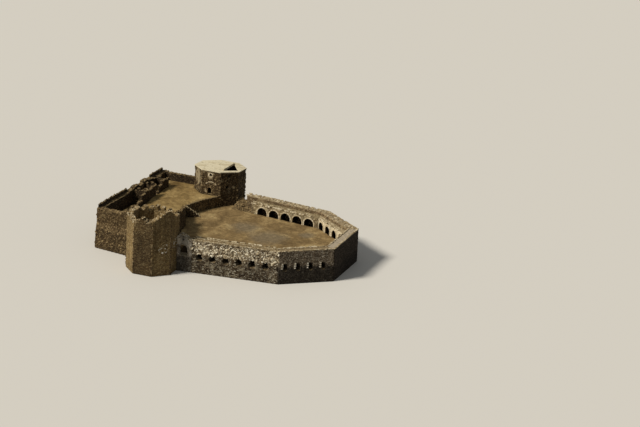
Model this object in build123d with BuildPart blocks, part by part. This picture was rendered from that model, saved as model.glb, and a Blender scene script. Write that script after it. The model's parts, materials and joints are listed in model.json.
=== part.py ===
from build123d import *
import os
from collections import namedtuple
from math import cos, hypot, pi, sin

# A ruined coastal castle at one tenth of its real size, in millimetres.
# A sea battery in the east and an upper court in the west meet between two octagonal towers.
# X runs east along the castle's axis and Y runs north. The origin is on the lowest ground
# that a wall stands on, midway between the centres of the two towers.

# Levels above the lowest ground
casemate_floor_level = 440
gate_sill_level = 525
court_level = 635
arch_crown_level = 878
walk_level = 955
upper_court_level = 980
tower_door_sill_level = 1000
parapet_level = 1045
yard_level = 800

# Plan of the sea battery
battery_face_length = 1952
battery_corner_setback = 1388
battery_corner_y = 2027
battery_side_spread = 0.12

# Thicknesses in the sea battery
side_wall_thickness = 240
side_range_depth = 560
splay_wall_thickness = 300
splay_range_depth = 520
east_wall_thickness = 340

# Casemates along the battery's sides and behind its splayed faces
side_bay_pitch = 415
side_first_bay = 411
south_bay_margin = 235
side_arch_width = 340
north_bay_count = 5
south_bay_count = 6
splay_bay_pitch = 395
splay_first_bay = 211
splay_bay_count = 4
splay_arch_width = 256
splay_arch_pitch = 386
earth_slope_run = 200

# Lengths of the north side that still stand, from its eastern corner
north_wall_standing = 2820
north_arcade_standing = 2465

# Rubble at the foot of the north tower, falling to the east and rising to the north
breach_rubble_level = 880
breach_rubble_fall = 0.16
breach_rubble_rise = 0.42

# Gun ports, wide outside and narrow inside
port_outer_width = 150
port_inner_width = 90
port_outer_sill = 415
port_outer_head = 645
port_inner_sill = 480
port_inner_head = 625
port_breach_width = 235
port_breach_height = 190

# Octagonal towers
tower_radius = 800
tower_spacing = 5070
north_tower_wall = 150
south_tower_wall = 180
tower_floor_thickness = 35
upper_floor_level = 1365

# Doorway and windows of the north tower
tower_door_width = 135
tower_door_height = 215
tower_door_offset = 350
south_window_size = 88
south_window_offset = 322
south_window_level = 1585
high_window_width = 72
high_window_height = 96
high_window_offset = 312
high_window_level = 1550
low_window_width = 75
low_window_height = 107
low_window_offset = 362
low_window_level = 1190

# Roof of the north tower, which falls to the north
roof_middle_level = 1675
roof_fall = 0.1015
roof_thickness = 25
roof_overhang = 22
roof_kerb_width = 34
roof_kerb_height = 38

# Corners of the opening in the roof, from the tower's centre, as shares of the tower's radius
roof_hole_share = ((0.38, -0.6), (0.875, -0.19), (0.695, 0.01), (0.3, 0.675))

# Gate beside the south tower
gate_width = 280
gate_height = 340
gate_offset = 205
gate_block_length = 485
gate_loop_width = 55
gate_loop_height = 60
gate_loop_place = 285
gate_loop_level = 1010

# South tower, filled with rubble at its foot
south_tower_rubble_level = 1380

# Upper court
court_southwest_x = -2300
court_southwest_y = -1660
court_northwest_x = -2000
court_northwest_y = 2560
southwest_joint_share = 0.706
court_wall_thickness = 110
west_wall_thickness = 155
southwest_wall_thickness = 220
retaining_wall_thickness = 80
link_wall_thickness = 110
ruin_wall_thickness = 80
west_top_level = 1240
parapet_thickness = 50
parapet_height = 115
parapet_end_gap = 80
retaining_coping = 12
court_stair_width = 220
court_stair_steps = 14

# Spreading foot of the south-west wall
southwest_foot_start = 420
southwest_foot_length = 1380
southwest_foot_spread = 150
southwest_foot_level = 800

# Ruined rooms along the west wall
range_front_distance = 1560
range_south_cross_y = 450
range_middle_cross_y = 1180
range_north_cross_y = 1900
range_door_width = 105
range_door_height = 215
range_door_y = 1000

tower_y = tower_spacing / 2
tower_apothem = tower_radius * cos(pi / 8)
tower_half_face = tower_radius * sin(pi / 8)
cut_margin = 40
range_front_x = -range_front_distance
range_cross_y = (range_south_cross_y, range_middle_cross_y, range_north_cross_y)


def length_of(line):
    """Length of a plan line."""
    (x1, y1), (x2, y2) = line
    return hypot(x2 - x1, y2 - y1)


def direction_of(line):
    """Unit direction of a plan line."""
    (x1, y1), (x2, y2) = line
    return (x2 - x1) / length_of(line), (y2 - y1) / length_of(line)


def along(line, distance, inset=0):
    """Point on a plan line, moved inwards, which is to the right of its direction."""
    dx, dy = direction_of(line)
    x, y = line[0]
    return x + dx * distance + dy * inset, y + dy * distance - dx * inset


def inset_line(line, inset):
    """Plan line moved inwards."""
    return along(line, 0, inset), along(line, length_of(line), inset)


def crossing(first, second):
    """Point where two plan lines meet."""
    dx1, dy1 = direction_of(first)
    dx2, dy2 = direction_of(second)
    gap_x = second[0][0] - first[0][0]
    gap_y = second[0][1] - first[0][1]
    distance = (gap_x * dy2 - gap_y * dx2) / (dx1 * dy2 - dy1 * dx2)
    return along(first, distance)


def mirrored(point):
    """Point on the other side of the castle's axis."""
    return point[0], -point[1]


def upright(line, inset=0):
    """Plane in a wall: its X runs along the wall, its Y upwards and its Z inwards."""
    dx, dy = direction_of(line)
    x, y = along(line, 0, inset)
    return Plane(origin=(x, y, 0), x_dir=(dx, dy, 0), z_dir=(dy, -dx, 0))


def cross_section(line, distance, inset=0):
    """Plane across a wall: its X runs outwards, its Y upwards and its Z along the wall."""
    dx, dy = direction_of(line)
    x, y = along(line, distance, inset)
    return Plane(origin=(x, y, 0), x_dir=(-dy, dx, 0), z_dir=(dx, dy, 0))


def stepped(length, tops):
    """Outline of a wall whose broken top is a row of equal steps."""
    step = length / len(tops)
    points = [(0, 0)]
    for index, top in enumerate(tops):
        points.append((index * step, top))
        points.append(((index + 1) * step, top))
    points.append((length, 0))
    return points


def save(piece, name):
    """Label a finished piece and write it."""
    piece.part.label = name
    export_step(piece.part, f"parts/{name}.step")


def prism(outline, top, base=0):
    """Solid on a plan outline."""
    with BuildPart() as solid:
        with BuildSketch(Plane.XY.offset(base)):
            Polygon(*outline, align=None)
        extrude(amount=top - base)
    return solid


def broken_wall(outline, face, tops):
    """Wall on a plan outline, whose top is broken into steps along its outer face."""
    with BuildPart() as wall:
        with BuildSketch(Plane.XY):
            Polygon(*outline, align=None)
        extrude(amount=max(tops))
        with BuildSketch(upright(face)):
            Polygon(*stepped(length_of(face), tops), align=None)
        extrude(amount=tower_radius, both=True, mode=Mode.INTERSECT)
    return wall


def box_opening(plane, centre, width, sill, head):
    """Square-headed opening drawn on an upright plane."""
    with BuildSketch(plane) as opening:
        with Locations((centre, (sill + head) / 2)):
            Rectangle(width, head - sill)
    return opening.sketch


def arch_opening(plane, centre, width, sill, crown):
    """Round-headed opening drawn on an upright plane."""
    springing = crown - width / 2
    with BuildSketch(plane) as opening:
        with Locations((centre, (sill + springing) / 2)):
            Rectangle(width, springing - sill)
        with Locations((centre, springing)):
            Circle(width / 2)
    return opening.sketch


os.makedirs("parts", exist_ok=True)

# Plan lines of the sea battery, clockwise, with the inside on the right. Its sides are as long
# as the south side needs for its bays and the gate.
tower_face_x = tower_apothem
south_wall_end = side_first_bay + side_bay_pitch * (south_bay_count - 1) + south_bay_margin
side_length = south_wall_end + gate_block_length
battery_corner_x = tower_face_x + side_length / hypot(1, battery_side_spread)
north_corner = (battery_corner_x, battery_corner_y)
east_corner = (battery_corner_x + battery_corner_setback, battery_face_length / 2)
side_rise = battery_side_spread * (north_corner[0] - tower_face_x)
north_start = (tower_face_x, battery_corner_y + side_rise)
north_line = (north_start, north_corner)
northeast_line = (north_corner, east_corner)
east_line = (east_corner, mirrored(east_corner))
southeast_line = (mirrored(east_corner), mirrored(north_corner))
south_line = (mirrored(north_corner), mirrored(north_start))

# Corners at the inner face of the outer walls
north_wall_corner = crossing(
    inset_line(north_line, side_wall_thickness), inset_line(northeast_line, splay_wall_thickness)
)
east_wall_corner = crossing(
    inset_line(northeast_line, splay_wall_thickness), inset_line(east_line, east_wall_thickness)
)

# Corners at the court face of the casemates
north_arcade_corner = crossing(
    inset_line(north_line, side_range_depth), inset_line(northeast_line, splay_range_depth)
)
east_arcade_corner = crossing(
    inset_line(northeast_line, splay_range_depth), inset_line(east_line, east_wall_thickness)
)

# Where the north side is broken off
north_length = length_of(north_line)
north_wall_break = north_length - north_wall_standing
north_arcade_break = north_length - north_arcade_standing


def bay_centres(first, pitch, count):
    """Distances of the bays' centres from the corner that they are set out from."""
    return [first + pitch * index for index in range(count)]


side_ports_north = bay_centres(side_first_bay, side_bay_pitch, north_bay_count)
side_ports_south = bay_centres(side_first_bay, side_bay_pitch, south_bay_count)
splay_ports = bay_centres(splay_first_bay, splay_bay_pitch, splay_bay_count)
splay_length = length_of(northeast_line)


def port_faces(line, thickness, centre):
    """Outer and inner opening of a splayed gun port."""
    outer = box_opening(
        upright(line), centre, port_outer_width, port_outer_sill, port_outer_head
    )
    inner = box_opening(
        upright(line, thickness), centre, port_inner_width, port_inner_sill, port_inner_head
    )
    return [outer.face(), inner.face()]


def battery_wall(outline, line, thickness, centres):
    """Outer wall of the battery with its parapet and gun ports."""
    with BuildPart() as wall:
        with BuildSketch(Plane.XY):
            Polygon(*outline, align=None)
        extrude(amount=parapet_level)
        for centre in centres:
            loft(port_faces(line, thickness, centre), mode=Mode.SUBTRACT)
    return wall


# North wall of the battery, broken off towards the tower
north_wall_outline = [
    along(north_line, north_wall_break),
    north_corner,
    north_wall_corner,
    along(north_line, north_wall_break, side_wall_thickness),
]
north_port_places = [north_length - centre for centre in side_ports_north]
battery_north_wall = battery_wall(
    north_wall_outline, north_line, side_wall_thickness, north_port_places
)
save(battery_north_wall, "battery_north_wall")

# Splayed north-east wall
northeast_outline = [north_corner, east_corner, east_wall_corner, north_wall_corner]
battery_northeast_wall = battery_wall(
    northeast_outline, northeast_line, splay_wall_thickness, splay_ports
)
save(battery_northeast_wall, "battery_northeast_wall")

# East wall at the point of the battery, solid and without ports
east_outline = [
    east_corner,
    mirrored(east_corner),
    mirrored(east_wall_corner),
    east_wall_corner,
]
battery_east_wall = prism(east_outline, parapet_level)
save(battery_east_wall, "battery_east_wall")

# Splayed south-east wall
southeast_outline = [mirrored(point) for point in northeast_outline]
southeast_ports = [splay_length - centre for centre in splay_ports]
battery_southeast_wall = battery_wall(
    southeast_outline, southeast_line, splay_wall_thickness, southeast_ports
)
save(battery_southeast_wall, "battery_southeast_wall")

# South wall, whose ports are broken open to ragged hollows
south_wall_outline = [
    along(south_line, 0),
    along(south_line, south_wall_end),
    along(south_line, south_wall_end, side_wall_thickness),
    mirrored(north_wall_corner),
]
with BuildPart() as battery_south_wall:
    with BuildSketch(Plane.XY):
        Polygon(*south_wall_outline, align=None)
    extrude(amount=parapet_level)
    for port in side_ports_south:
        loft(port_faces(south_line, side_wall_thickness, port), mode=Mode.SUBTRACT)
        with BuildSketch(upright(south_line, -cut_margin)):
            with Locations((port, port_outer_sill)):
                Polygon(
                    (-port_breach_width / 2, port_breach_height * 0.35),
                    (-port_breach_width * 0.2, port_breach_height),
                    (port_breach_width * 0.15, port_breach_height * 1.15),
                    (port_breach_width / 2, port_breach_height * 0.55),
                    (port_breach_width * 0.3, 0),
                    (-port_breach_width * 0.3, 0),
                    align=None,
                )
        extrude(amount=cut_margin + side_wall_thickness / 2, mode=Mode.SUBTRACT)
save(battery_south_wall, "battery_south_wall")


# A vaulted casemate: its wall line, the depths of its port wall and of its court face,
# the width of its arch, and the places of its arch and its port along the line
Bay = namedtuple("Bay", "line wall depth width arch port")


def tunnel(bay):
    """Vaulted tunnel of a casemate, from its arch to the port wall."""
    inner = along(bay.line, bay.arch, bay.depth)
    outer = along(bay.line, bay.port, bay.wall)
    run = Vector(outer[0] - inner[0], outer[1] - inner[1], 0)
    court_face = upright(bay.line, bay.depth)
    arch = arch_opening(
        court_face, bay.arch, bay.width, casemate_floor_level, arch_crown_level
    )
    with BuildPart() as vault:
        extrude(arch, amount=run.length, dir=run.normalized())
    return vault.part


def casemate_block(outline, bays):
    """Vaulted casemates: one mass of masonry with a tunnel for each bay."""
    with BuildPart() as casemates:
        with BuildSketch(Plane.XY):
            Polygon(*outline, align=None)
        extrude(amount=walk_level)
        for bay in bays:
            add(tunnel(bay), mode=Mode.SUBTRACT)
    return casemates


def bays_along(line, wall, depth, width, arches, ports):
    """Bays of one face of the battery."""
    return [Bay(line, wall, depth, width, arch, port) for arch, port in zip(arches, ports)]


# Vaulted casemates of the north side
north_casemate_outline = [
    along(north_line, north_arcade_break, side_wall_thickness),
    north_wall_corner,
    north_arcade_corner,
    along(north_line, north_arcade_break, side_range_depth),
]
north_bays = bays_along(
    north_line,
    side_wall_thickness,
    side_range_depth,
    side_arch_width,
    north_port_places,
    north_port_places,
)
north_casemates = casemate_block(north_casemate_outline, north_bays)
save(north_casemates, "north_casemates")

# Vaulted casemates of the south side, up to the gate
south_casemate_outline = [
    mirrored(north_wall_corner),
    along(south_line, south_wall_end, side_wall_thickness),
    along(south_line, south_wall_end, side_range_depth),
    mirrored(north_arcade_corner),
]
south_bays = bays_along(
    south_line,
    side_wall_thickness,
    side_range_depth,
    side_arch_width,
    side_ports_south,
    side_ports_south,
)
south_casemates = casemate_block(south_casemate_outline, south_bays)
save(south_casemates, "south_casemates")

# Casemates behind the splayed faces, whose tunnels fan out from the arches to the ports
arcade_start = length_of((along(northeast_line, 0, splay_range_depth), north_arcade_corner))
arcade_length = length_of((north_arcade_corner, east_arcade_corner))
first_arch = arcade_start + (arcade_length - splay_arch_pitch * (splay_bay_count - 1)) / 2
splay_arches = bay_centres(first_arch, splay_arch_pitch, splay_bay_count)
northeast_casemate_outline = [
    north_wall_corner,
    east_wall_corner,
    east_arcade_corner,
    north_arcade_corner,
]
northeast_bays = bays_along(
    northeast_line,
    splay_wall_thickness,
    splay_range_depth,
    splay_arch_width,
    splay_arches,
    splay_ports,
)
northeast_casemates = casemate_block(northeast_casemate_outline, northeast_bays)
save(northeast_casemates, "northeast_casemates")

southeast_bays = bays_along(
    southeast_line,
    splay_wall_thickness,
    splay_range_depth,
    splay_arch_width,
    [splay_length - arch for arch in splay_arches],
    southeast_ports,
)
southeast_outline_inside = [mirrored(point) for point in northeast_casemate_outline]
southeast_casemates = casemate_block(southeast_outline_inside, southeast_bays)
save(southeast_casemates, "southeast_casemates")


def run_in_earth(bay):
    """Earth that has run into a casemate from the court, down a slope."""
    with BuildPart() as earth:
        add(tunnel(bay))
        with BuildSketch(cross_section(bay.line, bay.arch, bay.depth)):
            Polygon(
                (0, casemate_floor_level),
                (earth_slope_run, casemate_floor_level),
                (0, court_level),
                align=None,
            )
        extrude(amount=bay.width, both=True, mode=Mode.INTERSECT)
    return earth.part


with BuildPart() as casemate_earth:
    for bay in north_bays + northeast_bays + southeast_bays + south_bays:
        add(run_in_earth(bay))
save(casemate_earth, "casemate_earth")

# Earth terrace of the lower court, held by the battery's walls
battery_west_line = ((tower_face_x, 0), (tower_face_x, tower_y))
court_north_edge = crossing(inset_line(north_line, side_range_depth), battery_west_line)
gate_inner_corner = crossing(inset_line(south_line, side_wall_thickness), battery_west_line)
tower_corner_x = tower_half_face
tower_corner_y = tower_y - tower_apothem
retaining_line = [
    (tower_corner_x, tower_corner_y),
    (-40, 1180),
    (-260, 480),
    (60, -250),
    (tower_corner_x, -tower_corner_y),
]

court_outline = [
    (tower_face_x, tower_y - tower_half_face),
    court_north_edge,
    north_arcade_corner,
    east_arcade_corner,
]
lower_court_outline = court_outline + [mirrored(point) for point in reversed(court_outline)]
lower_court_outline += reversed(retaining_line)
lower_court_fill = prism(lower_court_outline, court_level)
save(lower_court_fill, "lower_court_fill")

# Rubble at the foot of the north tower, where the battery's wall is broken off
rubble_outline = [
    (tower_face_x, tower_y - tower_half_face),
    north_start,
    along(north_line, north_wall_break),
    along(north_line, north_wall_break, side_wall_thickness),
    along(north_line, north_arcade_break, side_wall_thickness),
    along(north_line, north_arcade_break, side_range_depth),
    court_north_edge,
]
with BuildPart() as battery_breach_rubble:
    with BuildSketch(Plane.XY):
        Polygon(*rubble_outline, align=None)
    extrude(amount=breach_rubble_level)
    slope = Plane(
        origin=(*court_north_edge, court_level),
        x_dir=(1, 0, -breach_rubble_fall),
        z_dir=(breach_rubble_fall, -breach_rubble_rise, 1),
    )
    split(bisect_by=slope, keep=Keep.BOTTOM)
save(battery_breach_rubble, "battery_breach_rubble")

# Gate wall beside the south tower, rising towards the tower
gate_line = (along(south_line, south_wall_end), along(south_line, north_length))
gate_outline = [
    gate_line[0],
    gate_line[1],
    gate_inner_corner,
    along(gate_line, 0, side_wall_thickness),
]
gate_tops = (1045, 1060, 1100, 1165, 1190, 1130)
gate_place = gate_block_length - gate_offset
with BuildPart() as gate_wall:
    add(broken_wall(gate_outline, gate_line, gate_tops).part)
    gate_face = upright(gate_line, -cut_margin)
    gate_head_level = gate_sill_level + gate_height
    arch = arch_opening(gate_face, gate_place, gate_width, gate_sill_level, gate_head_level)
    extrude(arch, amount=side_wall_thickness + 2 * cut_margin, mode=Mode.SUBTRACT)
    loop_head_level = gate_loop_level + gate_loop_height
    loop = box_opening(
        gate_face, gate_loop_place, gate_loop_width, gate_loop_level, loop_head_level
    )
    extrude(loop, amount=side_wall_thickness + 2 * cut_margin, mode=Mode.SUBTRACT)
save(gate_wall, "gate_wall")

# Ramp from the gate up to the lower court
ramp_outline = [
    along(gate_line, 0, side_wall_thickness),
    gate_inner_corner,
    mirrored(court_north_edge),
    along(gate_line, 0, side_range_depth),
]
ramp_run = side_range_depth - side_wall_thickness
with BuildPart() as gate_ramp:
    with BuildSketch(cross_section(gate_line, 0, side_range_depth)):
        Polygon(
            (0, 0),
            (0, court_level),
            (ramp_run, gate_sill_level),
            (ramp_run, 0),
            align=None,
        )
    extrude(amount=gate_block_length * 2, both=True)
    with BuildSketch(Plane.XY):
        Polygon(*ramp_outline, align=None)
    extrude(amount=court_level, mode=Mode.INTERSECT)
save(gate_ramp, "gate_ramp")

# Octagonal towers, with a face square to each axis
face_names = ("north", "northeast", "east", "southeast", "south", "southwest", "west", "northwest")


def tower_corner(centre_y, radius, index):
    """Corner at the start of a tower face, counted clockwise from the north face."""
    angle = pi / 2 + pi / 8 - index * pi / 4
    return radius * cos(angle), centre_y + radius * sin(angle)


def tower_face(centre_y, index):
    """Plan line of a tower face at its outside."""
    start = tower_corner(centre_y, tower_radius, index)
    return start, tower_corner(centre_y, tower_radius, index + 1)


def inner_radius(wall):
    """Radius to the inner corners of a tower with walls of this thickness."""
    return tower_radius - wall / cos(pi / 8)


def tower_wall_outline(centre_y, wall, index):
    """Plan of the wall behind one tower face, mitred at its corners."""
    start, end = tower_face(centre_y, index)
    radius = inner_radius(wall)
    inner_end = tower_corner(centre_y, radius, index + 1)
    return [start, end, inner_end, tower_corner(centre_y, radius, index)]


def tower_floor_outline(centre_y, wall):
    """Plan of the space inside a tower."""
    radius = inner_radius(wall)
    return [tower_corner(centre_y, radius, index) for index in range(8)]


roof_plane = Plane(
    origin=(0, tower_y, roof_middle_level),
    x_dir=(1, 0, 0),
    z_dir=(0, roof_fall, 1),
)
roof_high_level = roof_middle_level + roof_fall * tower_radius

# Walls of the north tower, with its doorway and windows
door_head_level = tower_door_sill_level + tower_door_height
for index, face_name in enumerate(face_names):
    face = tower_face(tower_y, index)
    outer_plane = upright(face, -cut_margin)
    through = north_tower_wall + 2 * cut_margin
    with BuildPart() as tower_wall:
        with BuildSketch(Plane.XY):
            Polygon(*tower_wall_outline(tower_y, north_tower_wall, index), align=None)
        extrude(amount=roof_high_level)
        split(bisect_by=roof_plane, keep=Keep.BOTTOM)
        if face_name == "south":
            doorway = arch_opening(
                outer_plane,
                tower_door_offset,
                tower_door_width,
                tower_door_sill_level,
                door_head_level,
            )
            extrude(doorway, amount=through, mode=Mode.SUBTRACT)
            window = box_opening(
                outer_plane,
                south_window_offset,
                south_window_size,
                south_window_level,
                south_window_level + south_window_size,
            )
            extrude(window, amount=through, mode=Mode.SUBTRACT)
        if face_name == "southeast":
            high_window = box_opening(
                outer_plane,
                high_window_offset,
                high_window_width,
                high_window_level,
                high_window_level + high_window_height,
            )
            extrude(high_window, amount=through, mode=Mode.SUBTRACT)
            low_window = box_opening(
                outer_plane,
                low_window_offset,
                low_window_width,
                low_window_level,
                low_window_level + low_window_height,
            )
            extrude(low_window, amount=through, mode=Mode.SUBTRACT)
    save(tower_wall, f"north_tower_{face_name}_wall")

# Floors inside the north tower
north_tower_inside = tower_floor_outline(tower_y, north_tower_wall)
north_tower_ground_floor = prism(north_tower_inside, tower_door_sill_level)
save(north_tower_ground_floor, "north_tower_ground_floor")
north_tower_upper_floor = prism(
    north_tower_inside, upper_floor_level, upper_floor_level - tower_floor_thickness
)
save(north_tower_upper_floor, "north_tower_upper_floor")

# Roof of the north tower: one slab with a long pointed opening over the south-east wall
roof_hole = [(tower_radius * x, tower_radius * y) for x, y in roof_hole_share]
roof_radius = tower_radius + roof_overhang
roof_corners = [tower_corner(0, roof_radius, index) for index in range(8)]
hole_east_edge = (roof_hole[2], roof_hole[3])
roof_seam_north = crossing(hole_east_edge, (roof_corners[0], roof_corners[1]))
roof_seam_south = crossing((roof_hole[0], roof_hole[1]), (roof_corners[2], roof_corners[3]))
roof_east_outline = [
    roof_hole[3],
    roof_seam_north,
    roof_corners[1],
    roof_corners[2],
    roof_seam_south,
    roof_hole[1],
    roof_hole[2],
]
with BuildPart() as north_tower_roof_east:
    with BuildSketch(roof_plane):
        Polygon(*roof_east_outline, align=None)
    extrude(amount=roof_thickness)
save(north_tower_roof_east, "north_tower_roof_east")

with BuildPart() as north_tower_roof_west:
    with BuildSketch(roof_plane):
        Polygon(*roof_corners, align=None)
        Polygon(*roof_hole, align=None, mode=Mode.SUBTRACT)
        Polygon(*roof_east_outline, align=None, mode=Mode.SUBTRACT)
    extrude(amount=roof_thickness)
save(north_tower_roof_west, "north_tower_roof_west")

# Raised edge along the west side of the opening
kerb_line = (roof_hole[3], roof_hole[0])
kerb_outline = [
    roof_hole[3],
    roof_hole[0],
    along(kerb_line, length_of(kerb_line), roof_kerb_width),
    along(kerb_line, 0, roof_kerb_width),
]
with BuildPart() as north_tower_roof_kerb:
    with BuildSketch(roof_plane.offset(roof_thickness)):
        Polygon(*kerb_outline, align=None)
    extrude(amount=roof_kerb_height)
save(north_tower_roof_kerb, "north_tower_roof_kerb")

# Walls of the ruined south tower: the broken top of each face, in steps clockwise
south_tower_tops = {
    "north": (1690, 1790, 1640, 1760, 1620, 1740),
    "northeast": (1700, 1650, 1600, 1680, 1720),
    "east": (1800, 1760, 1830, 1930, 1990),
    "southeast": (2050, 2030, 1960, 1900, 1840, 1790),
    "south": (1750, 1700, 1760, 1840, 1750, 1650),
    "southwest": (1640, 1660, 1700, 1720),
    "west": (1740, 1800, 1770, 1790),
    "northwest": (1760, 1690, 1800, 1650, 1740),
}
for index, face_name in enumerate(face_names):
    tower_wall = broken_wall(
        tower_wall_outline(-tower_y, south_tower_wall, index),
        tower_face(-tower_y, index),
        south_tower_tops[face_name],
    )
    save(tower_wall, f"south_tower_{face_name}_wall")

# Rubble that fills the foot of the south tower
south_tower_rubble = prism(
    tower_floor_outline(-tower_y, south_tower_wall), south_tower_rubble_level
)
save(south_tower_rubble, "south_tower_rubble")

# Corners of the upper court, clockwise
court_southwest = (court_southwest_x, court_southwest_y)
court_northwest = (court_northwest_x, court_northwest_y)
court_north_end = (-tower_apothem, court_northwest[1])
southwest_joint_y = southwest_joint_share * tower_radius - tower_y
tower_west_splay = (
    tower_corner(-tower_y, tower_radius, 7),
    tower_corner(-tower_y, tower_radius, 0),
)
southwest_start = crossing(
    tower_west_splay, ((0, southwest_joint_y), (1, southwest_joint_y))
)
southwest_line = (southwest_start, court_southwest)
west_line = (court_southwest, court_northwest)
north_court_line = (court_northwest, court_north_end)
southwest_inner = inset_line(southwest_line, southwest_wall_thickness)
west_inner = inset_line(west_line, west_wall_thickness)
north_inner = inset_line(north_court_line, court_wall_thickness)
southwest_inner_corner = crossing(southwest_inner, west_inner)
northwest_inner_corner = crossing(west_inner, north_inner)
southwest_inner_start = crossing(southwest_inner, tower_west_splay)

# South-west wall, which leans back above a spreading foot of fallen stone
southwest_tops = (1350, 1320, 1290, 1330, 1270, 1260, 1240, 1250)
southwest_outline = [
    southwest_start,
    court_southwest,
    southwest_inner_corner,
    southwest_inner_start,
]
with BuildPart() as upper_court_southwest_wall:
    add(broken_wall(southwest_outline, southwest_line, southwest_tops).part)
    with BuildSketch(cross_section(southwest_line, southwest_foot_start)):
        Polygon(
            (0, 0),
            (southwest_foot_spread, 0),
            (southwest_foot_spread * 0.7, southwest_foot_level * 0.8),
            (0, southwest_foot_level),
            align=None,
        )
    extrude(amount=southwest_foot_length)
save(upper_court_southwest_wall, "upper_court_southwest_wall")

# West wall, higher where the ruined rooms stand against it, with a thin parapet left on its
# outer edge at both ends
west_south_tops = (west_top_level,) * 6
west_room_tops = (1290, 1320, 1270, 1340, 1290)
west_north_tops = (west_top_level,) * 3
west_tops = west_south_tops + west_room_tops + west_north_tops
west_outline = [
    court_southwest,
    court_northwest,
    northwest_inner_corner,
    southwest_inner_corner,
]
west_length = length_of(west_line)
west_step = west_length / len(west_tops)
south_parapet = (parapet_end_gap, west_step * len(west_south_tops))
north_parapet = (west_length - west_step * len(west_north_tops), west_length - parapet_end_gap)
with BuildPart() as upper_court_west_wall:
    add(broken_wall(west_outline, west_line, west_tops).part)
    for start, end in (south_parapet, north_parapet):
        parapet_outline = [
            along(west_line, start),
            along(west_line, end),
            along(west_line, end, parapet_thickness),
            along(west_line, start, parapet_thickness),
        ]
        with BuildSketch(Plane.XY.offset(west_top_level)):
            Polygon(*parapet_outline, align=None)
        extrude(amount=parapet_height)
save(upper_court_west_wall, "upper_court_west_wall")

# North wall of the upper court, up to the north tower
north_court_tops = (1260, 1240, 1235, 1245, 1230, 1240)
north_court_outline = [
    court_northwest,
    court_north_end,
    (court_north_end[0], court_north_end[1] - court_wall_thickness),
    northwest_inner_corner,
]
upper_court_north_wall = broken_wall(north_court_outline, north_court_line, north_court_tops)
save(upper_court_north_wall, "upper_court_north_wall")



def west_side(point):
    """Point on the upper court's side of the retaining wall."""
    return point[0] - retaining_wall_thickness, point[1]


def leaning_wall_outline(points):
    """Plan of a wall along some of the retaining wall's points."""
    return list(points) + [west_side(point) for point in reversed(points)]


# Wall that holds the upper court above the lower one, and its higher run to the south tower
court_retaining_wall = prism(
    leaning_wall_outline(retaining_line[:4]), upper_court_level + retaining_coping
)
save(court_retaining_wall, "court_retaining_wall")

link_tops = (1255, 1290, 1275, 1340, 1400, 1380, 1480, 1600)
link_line = (retaining_line[4], retaining_line[3])
tower_link_wall = broken_wall(
    leaning_wall_outline(retaining_line[3:]), link_line, tuple(reversed(link_tops))
)
save(tower_link_wall, "tower_link_wall")

# Flight of steps down to the lower court
stair_foot = (91, 728)
stair_line = (retaining_line[2], stair_foot)
stair_rise = (upper_court_level - court_level) / court_stair_steps
stair_going = length_of(stair_line) / court_stair_steps
stair_profile = [(-court_stair_width, court_level), (-court_stair_width, upper_court_level)]
for step in range(1, court_stair_steps + 1):
    riser_level = upper_court_level - step * stair_rise
    stair_profile.append((step * stair_going, riser_level + stair_rise))
    stair_profile.append((step * stair_going, riser_level))
with BuildPart() as court_stair:
    with BuildSketch(upright(stair_line)):
        Polygon(*stair_profile, align=None)
    extrude(amount=court_stair_width / 2, both=True)
    with BuildSketch(Plane.XY):
        Polygon(*lower_court_outline, align=None)
    extrude(amount=upper_court_level, mode=Mode.INTERSECT)
save(court_stair, "court_stair")

# Ruined rooms along the west wall: their front wall, with a doorway, and three cross walls
range_south_tops = (1120, 1160, 1110, 1140, 1090, 1130)
range_north_tops = (1290, 1350, 1310, 1330, 1060, 1200, 1310, 1270)
range_cross_tops = (
    (1250, 1330, 1280, 1350),
    (1290, 1210, 1330, 1270),
    (1240, 1290, 1230, 1180),
)
range_back_x = range_front_x + ruin_wall_thickness


def west_to_east(y, end_x):
    """Plan line from the inner face of the west wall to a place east of it."""
    return crossing(west_inner, ((0, y), (1, y))), (end_x, y)


front_foot = crossing(southwest_inner, ((range_front_x, 0), (range_front_x, 1)))
back_foot = crossing(southwest_inner, ((range_back_x, 0), (range_back_x, 1)))
front_line = (front_foot, (range_front_x, range_cross_y[-1]))
front_outline = [
    front_foot,
    (range_front_x, range_cross_y[-1]),
    (range_back_x, range_cross_y[-1]),
    back_foot,
]
with BuildPart() as west_range_front_wall:
    add(broken_wall(front_outline, front_line, range_south_tops + range_north_tops).part)
    range_doorway = arch_opening(
        upright(front_line, -cut_margin),
        range_door_y - front_foot[1],
        range_door_width,
        upper_court_level,
        upper_court_level + range_door_height,
    )
    extrude(range_doorway, amount=ruin_wall_thickness + 2 * cut_margin, mode=Mode.SUBTRACT)
save(west_range_front_wall, "west_range_front_wall")

with BuildPart() as west_range_cross_walls:
    for cross_y, cross_tops in zip(range_cross_y, range_cross_tops):
        cross_line = west_to_east(cross_y, range_front_x)
        far_line = west_to_east(cross_y - ruin_wall_thickness, range_front_x)
        cross_outline = [cross_line[0], cross_line[1], far_line[1], far_line[0]]
        add(broken_wall(cross_outline, cross_line, cross_tops).part)
save(west_range_cross_walls, "west_range_cross_walls")

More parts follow.
